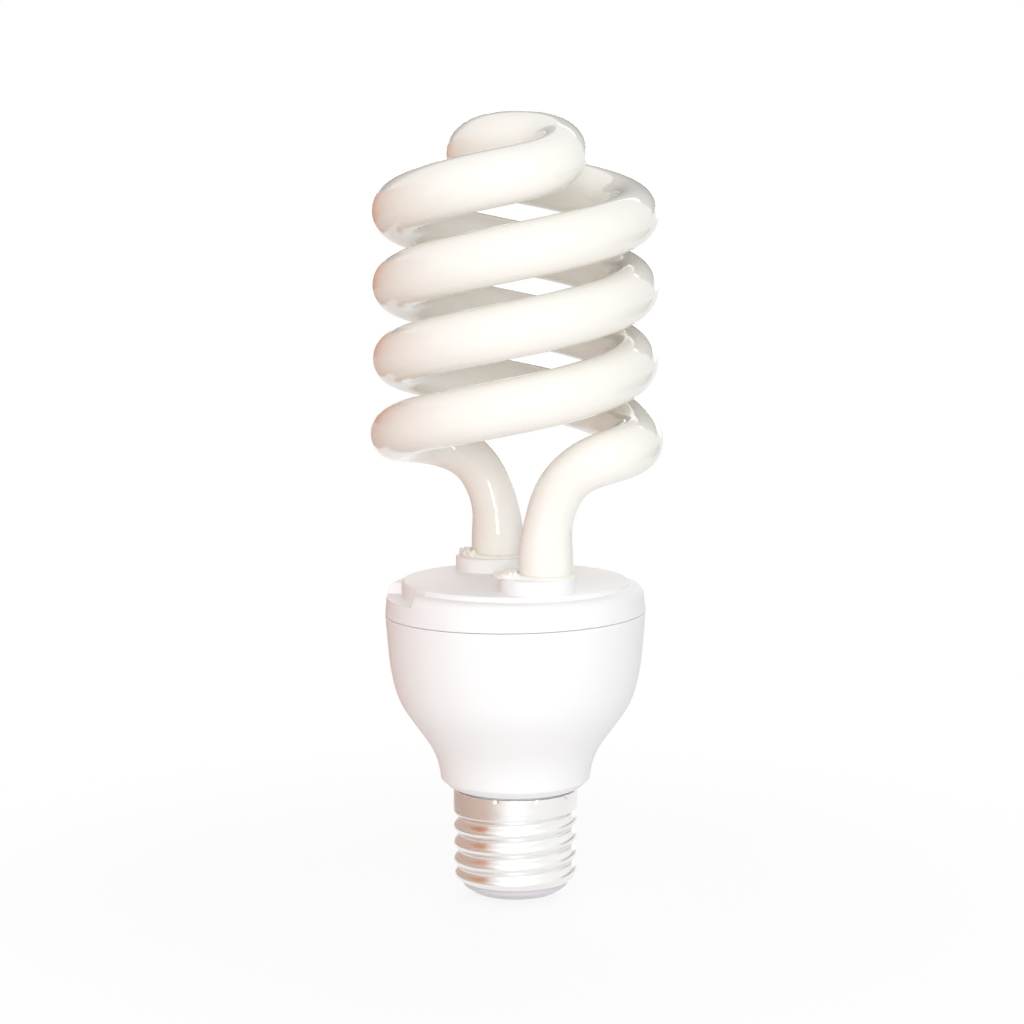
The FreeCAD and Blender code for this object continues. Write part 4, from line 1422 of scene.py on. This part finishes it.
@dataclass
class Studio:
    """A white floor and surround, soft lamps and the photograph's camera; lengths in metres."""

    camera_place: Place = (-0.00072, -0.510, 0.1487)
    camera_tilt: float = 82.628
    lens: float = 85.78
    sensor_width: float = 36.0
    clip_range: Span = (0.01, 50.0)
    floor_size: float = 8.0
    floor_colour: Colour = (0.9, 0.9, 0.9)
    floor_glow: float = 0.88
    shadow_reach: Span = (0.04, 0.16)
    ambient: float = 0.645
    aim: Place = (0.0, 0.0, 0.09)

    @staticmethod
    def seen_ray(nodes: Nodes) -> bpy.types.NodeSocket:
        """Give 1 for rays from the camera and for rays in gloss or glass, and 0 for all others.

        Args:
            nodes: Nodes of the material or the world.

        Returns:
            The output with that number.
        """
        rays = nodes.add("LightPath").outputs
        seen = nodes.combine("MAXIMUM", rays["Is Camera Ray"], rays["Is Glossy Ray"])
        return nodes.combine("MAXIMUM", seen, rays["Is Transmission Ray"])

    def floor(self) -> None:
        """Lay a white floor that shows a faint shadow near the lamp to the camera."""
        material = bpy.data.materials.new("white_floor")
        material.use_nodes = True
        nodes = Nodes(material.node_tree)
        away = nodes.add("VectorMath", operation="LENGTH")
        nodes.tree.links.new(nodes.add("TexCoord").outputs["Object"], away.inputs[0])
        near, far = self.shadow_reach
        glow_share = nodes.feed(nodes.add("MapRange", interpolation_type="SMOOTHSTEP"),
                                Value=away.outputs["Value"], From_Min=near, From_Max=far,
                                To_Min=self.floor_glow, To_Max=1.0)
        shown = nodes.combine("MULTIPLY", self.seen_ray(nodes), glow_share.outputs["Result"])
        matt = nodes.feed(nodes.add("BsdfDiffuse"), Color=(*self.floor_colour, 1.0))
        glow = nodes.feed(nodes.add("Emission"), Color=WHITE, Strength=1.0)
        surface = nodes.blend(shown, matt.outputs[0], glow.outputs[0])
        nodes.feed(nodes.add("OutputMaterial"), Surface=surface)
        half = 0.5 * self.floor_size
        corners = [(-half, -half, 0.0), (half, -half, 0.0), (half, half, 0.0), (-half, half, 0.0)]
        place_sheet("floor", corners, material)

    def world(self) -> None:
        """Make a white surround that lights the lamp less than it shows."""
        world = bpy.data.worlds.new("white_surround")
        world.use_nodes = True
        nodes = Nodes(world.node_tree)
        strength = nodes.feed(nodes.add("MapRange"), Value=self.seen_ray(nodes), To_Min=self.ambient,
                              To_Max=1.0)
        surround = nodes.feed(nodes.add("Background"), Color=WHITE, Strength=strength.outputs["Result"])
        nodes.feed(nodes.add("OutputWorld"), Surface=surround.outputs[0])
        bpy.context.scene.world = world

    def camera(self) -> None:
        """Put the camera where the photograph was taken."""
        data = bpy.data.cameras.new("camera")
        data.lens = self.lens
        data.sensor_width = self.sensor_width
        data.clip_start, data.clip_end = self.clip_range
        camera = bpy.data.objects.new("camera", data)
        camera.location = self.camera_place
        camera.rotation_euler = (math.radians(self.camera_tilt), 0.0, 0.0)
        bpy.context.scene.collection.objects.link(camera)
        bpy.context.scene.camera = camera

    def build(self) -> None:
        """Set the stage."""
        self.floor()
        self.world()
        for lamp in LAMPS:
            lamp.hang(self.aim)
        for card in CARDS:
            card.stand()
        self.camera()
        bpy.context.scene.view_settings.view_transform = "Standard"


def main() -> None:
    """Build the lamp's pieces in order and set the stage."""
    logging.basicConfig(level=logging.INFO, format="%(message)s")
    build_cloud()
    build_grain()
    build_marks()
    tube = GlassTube()
    tube.dress()
    LegCement("front_bead", "front_leg_cement", tube.leg_front_x, -tube.leg_depth,
              lump_azimuth=190.0, lump_spread=26.0, lump_reach=4.2, seed=5).dress()
    LegCement("rear_bead", "rear_leg_cement", tube.leg_rear_x, tube.leg_depth,
              lump_azimuth=188.0, lump_spread=34.0, lump_reach=1.6, seed=8).dress()
    TubeCover().dress(tube)
    BallastHousing().dress()
    ScrewCap().dress()
    EndInsulation().dress()
    EndContact().dress()
    dress_inner_parts()
    Studio().build()


if __name__ == "__main__":
    main()
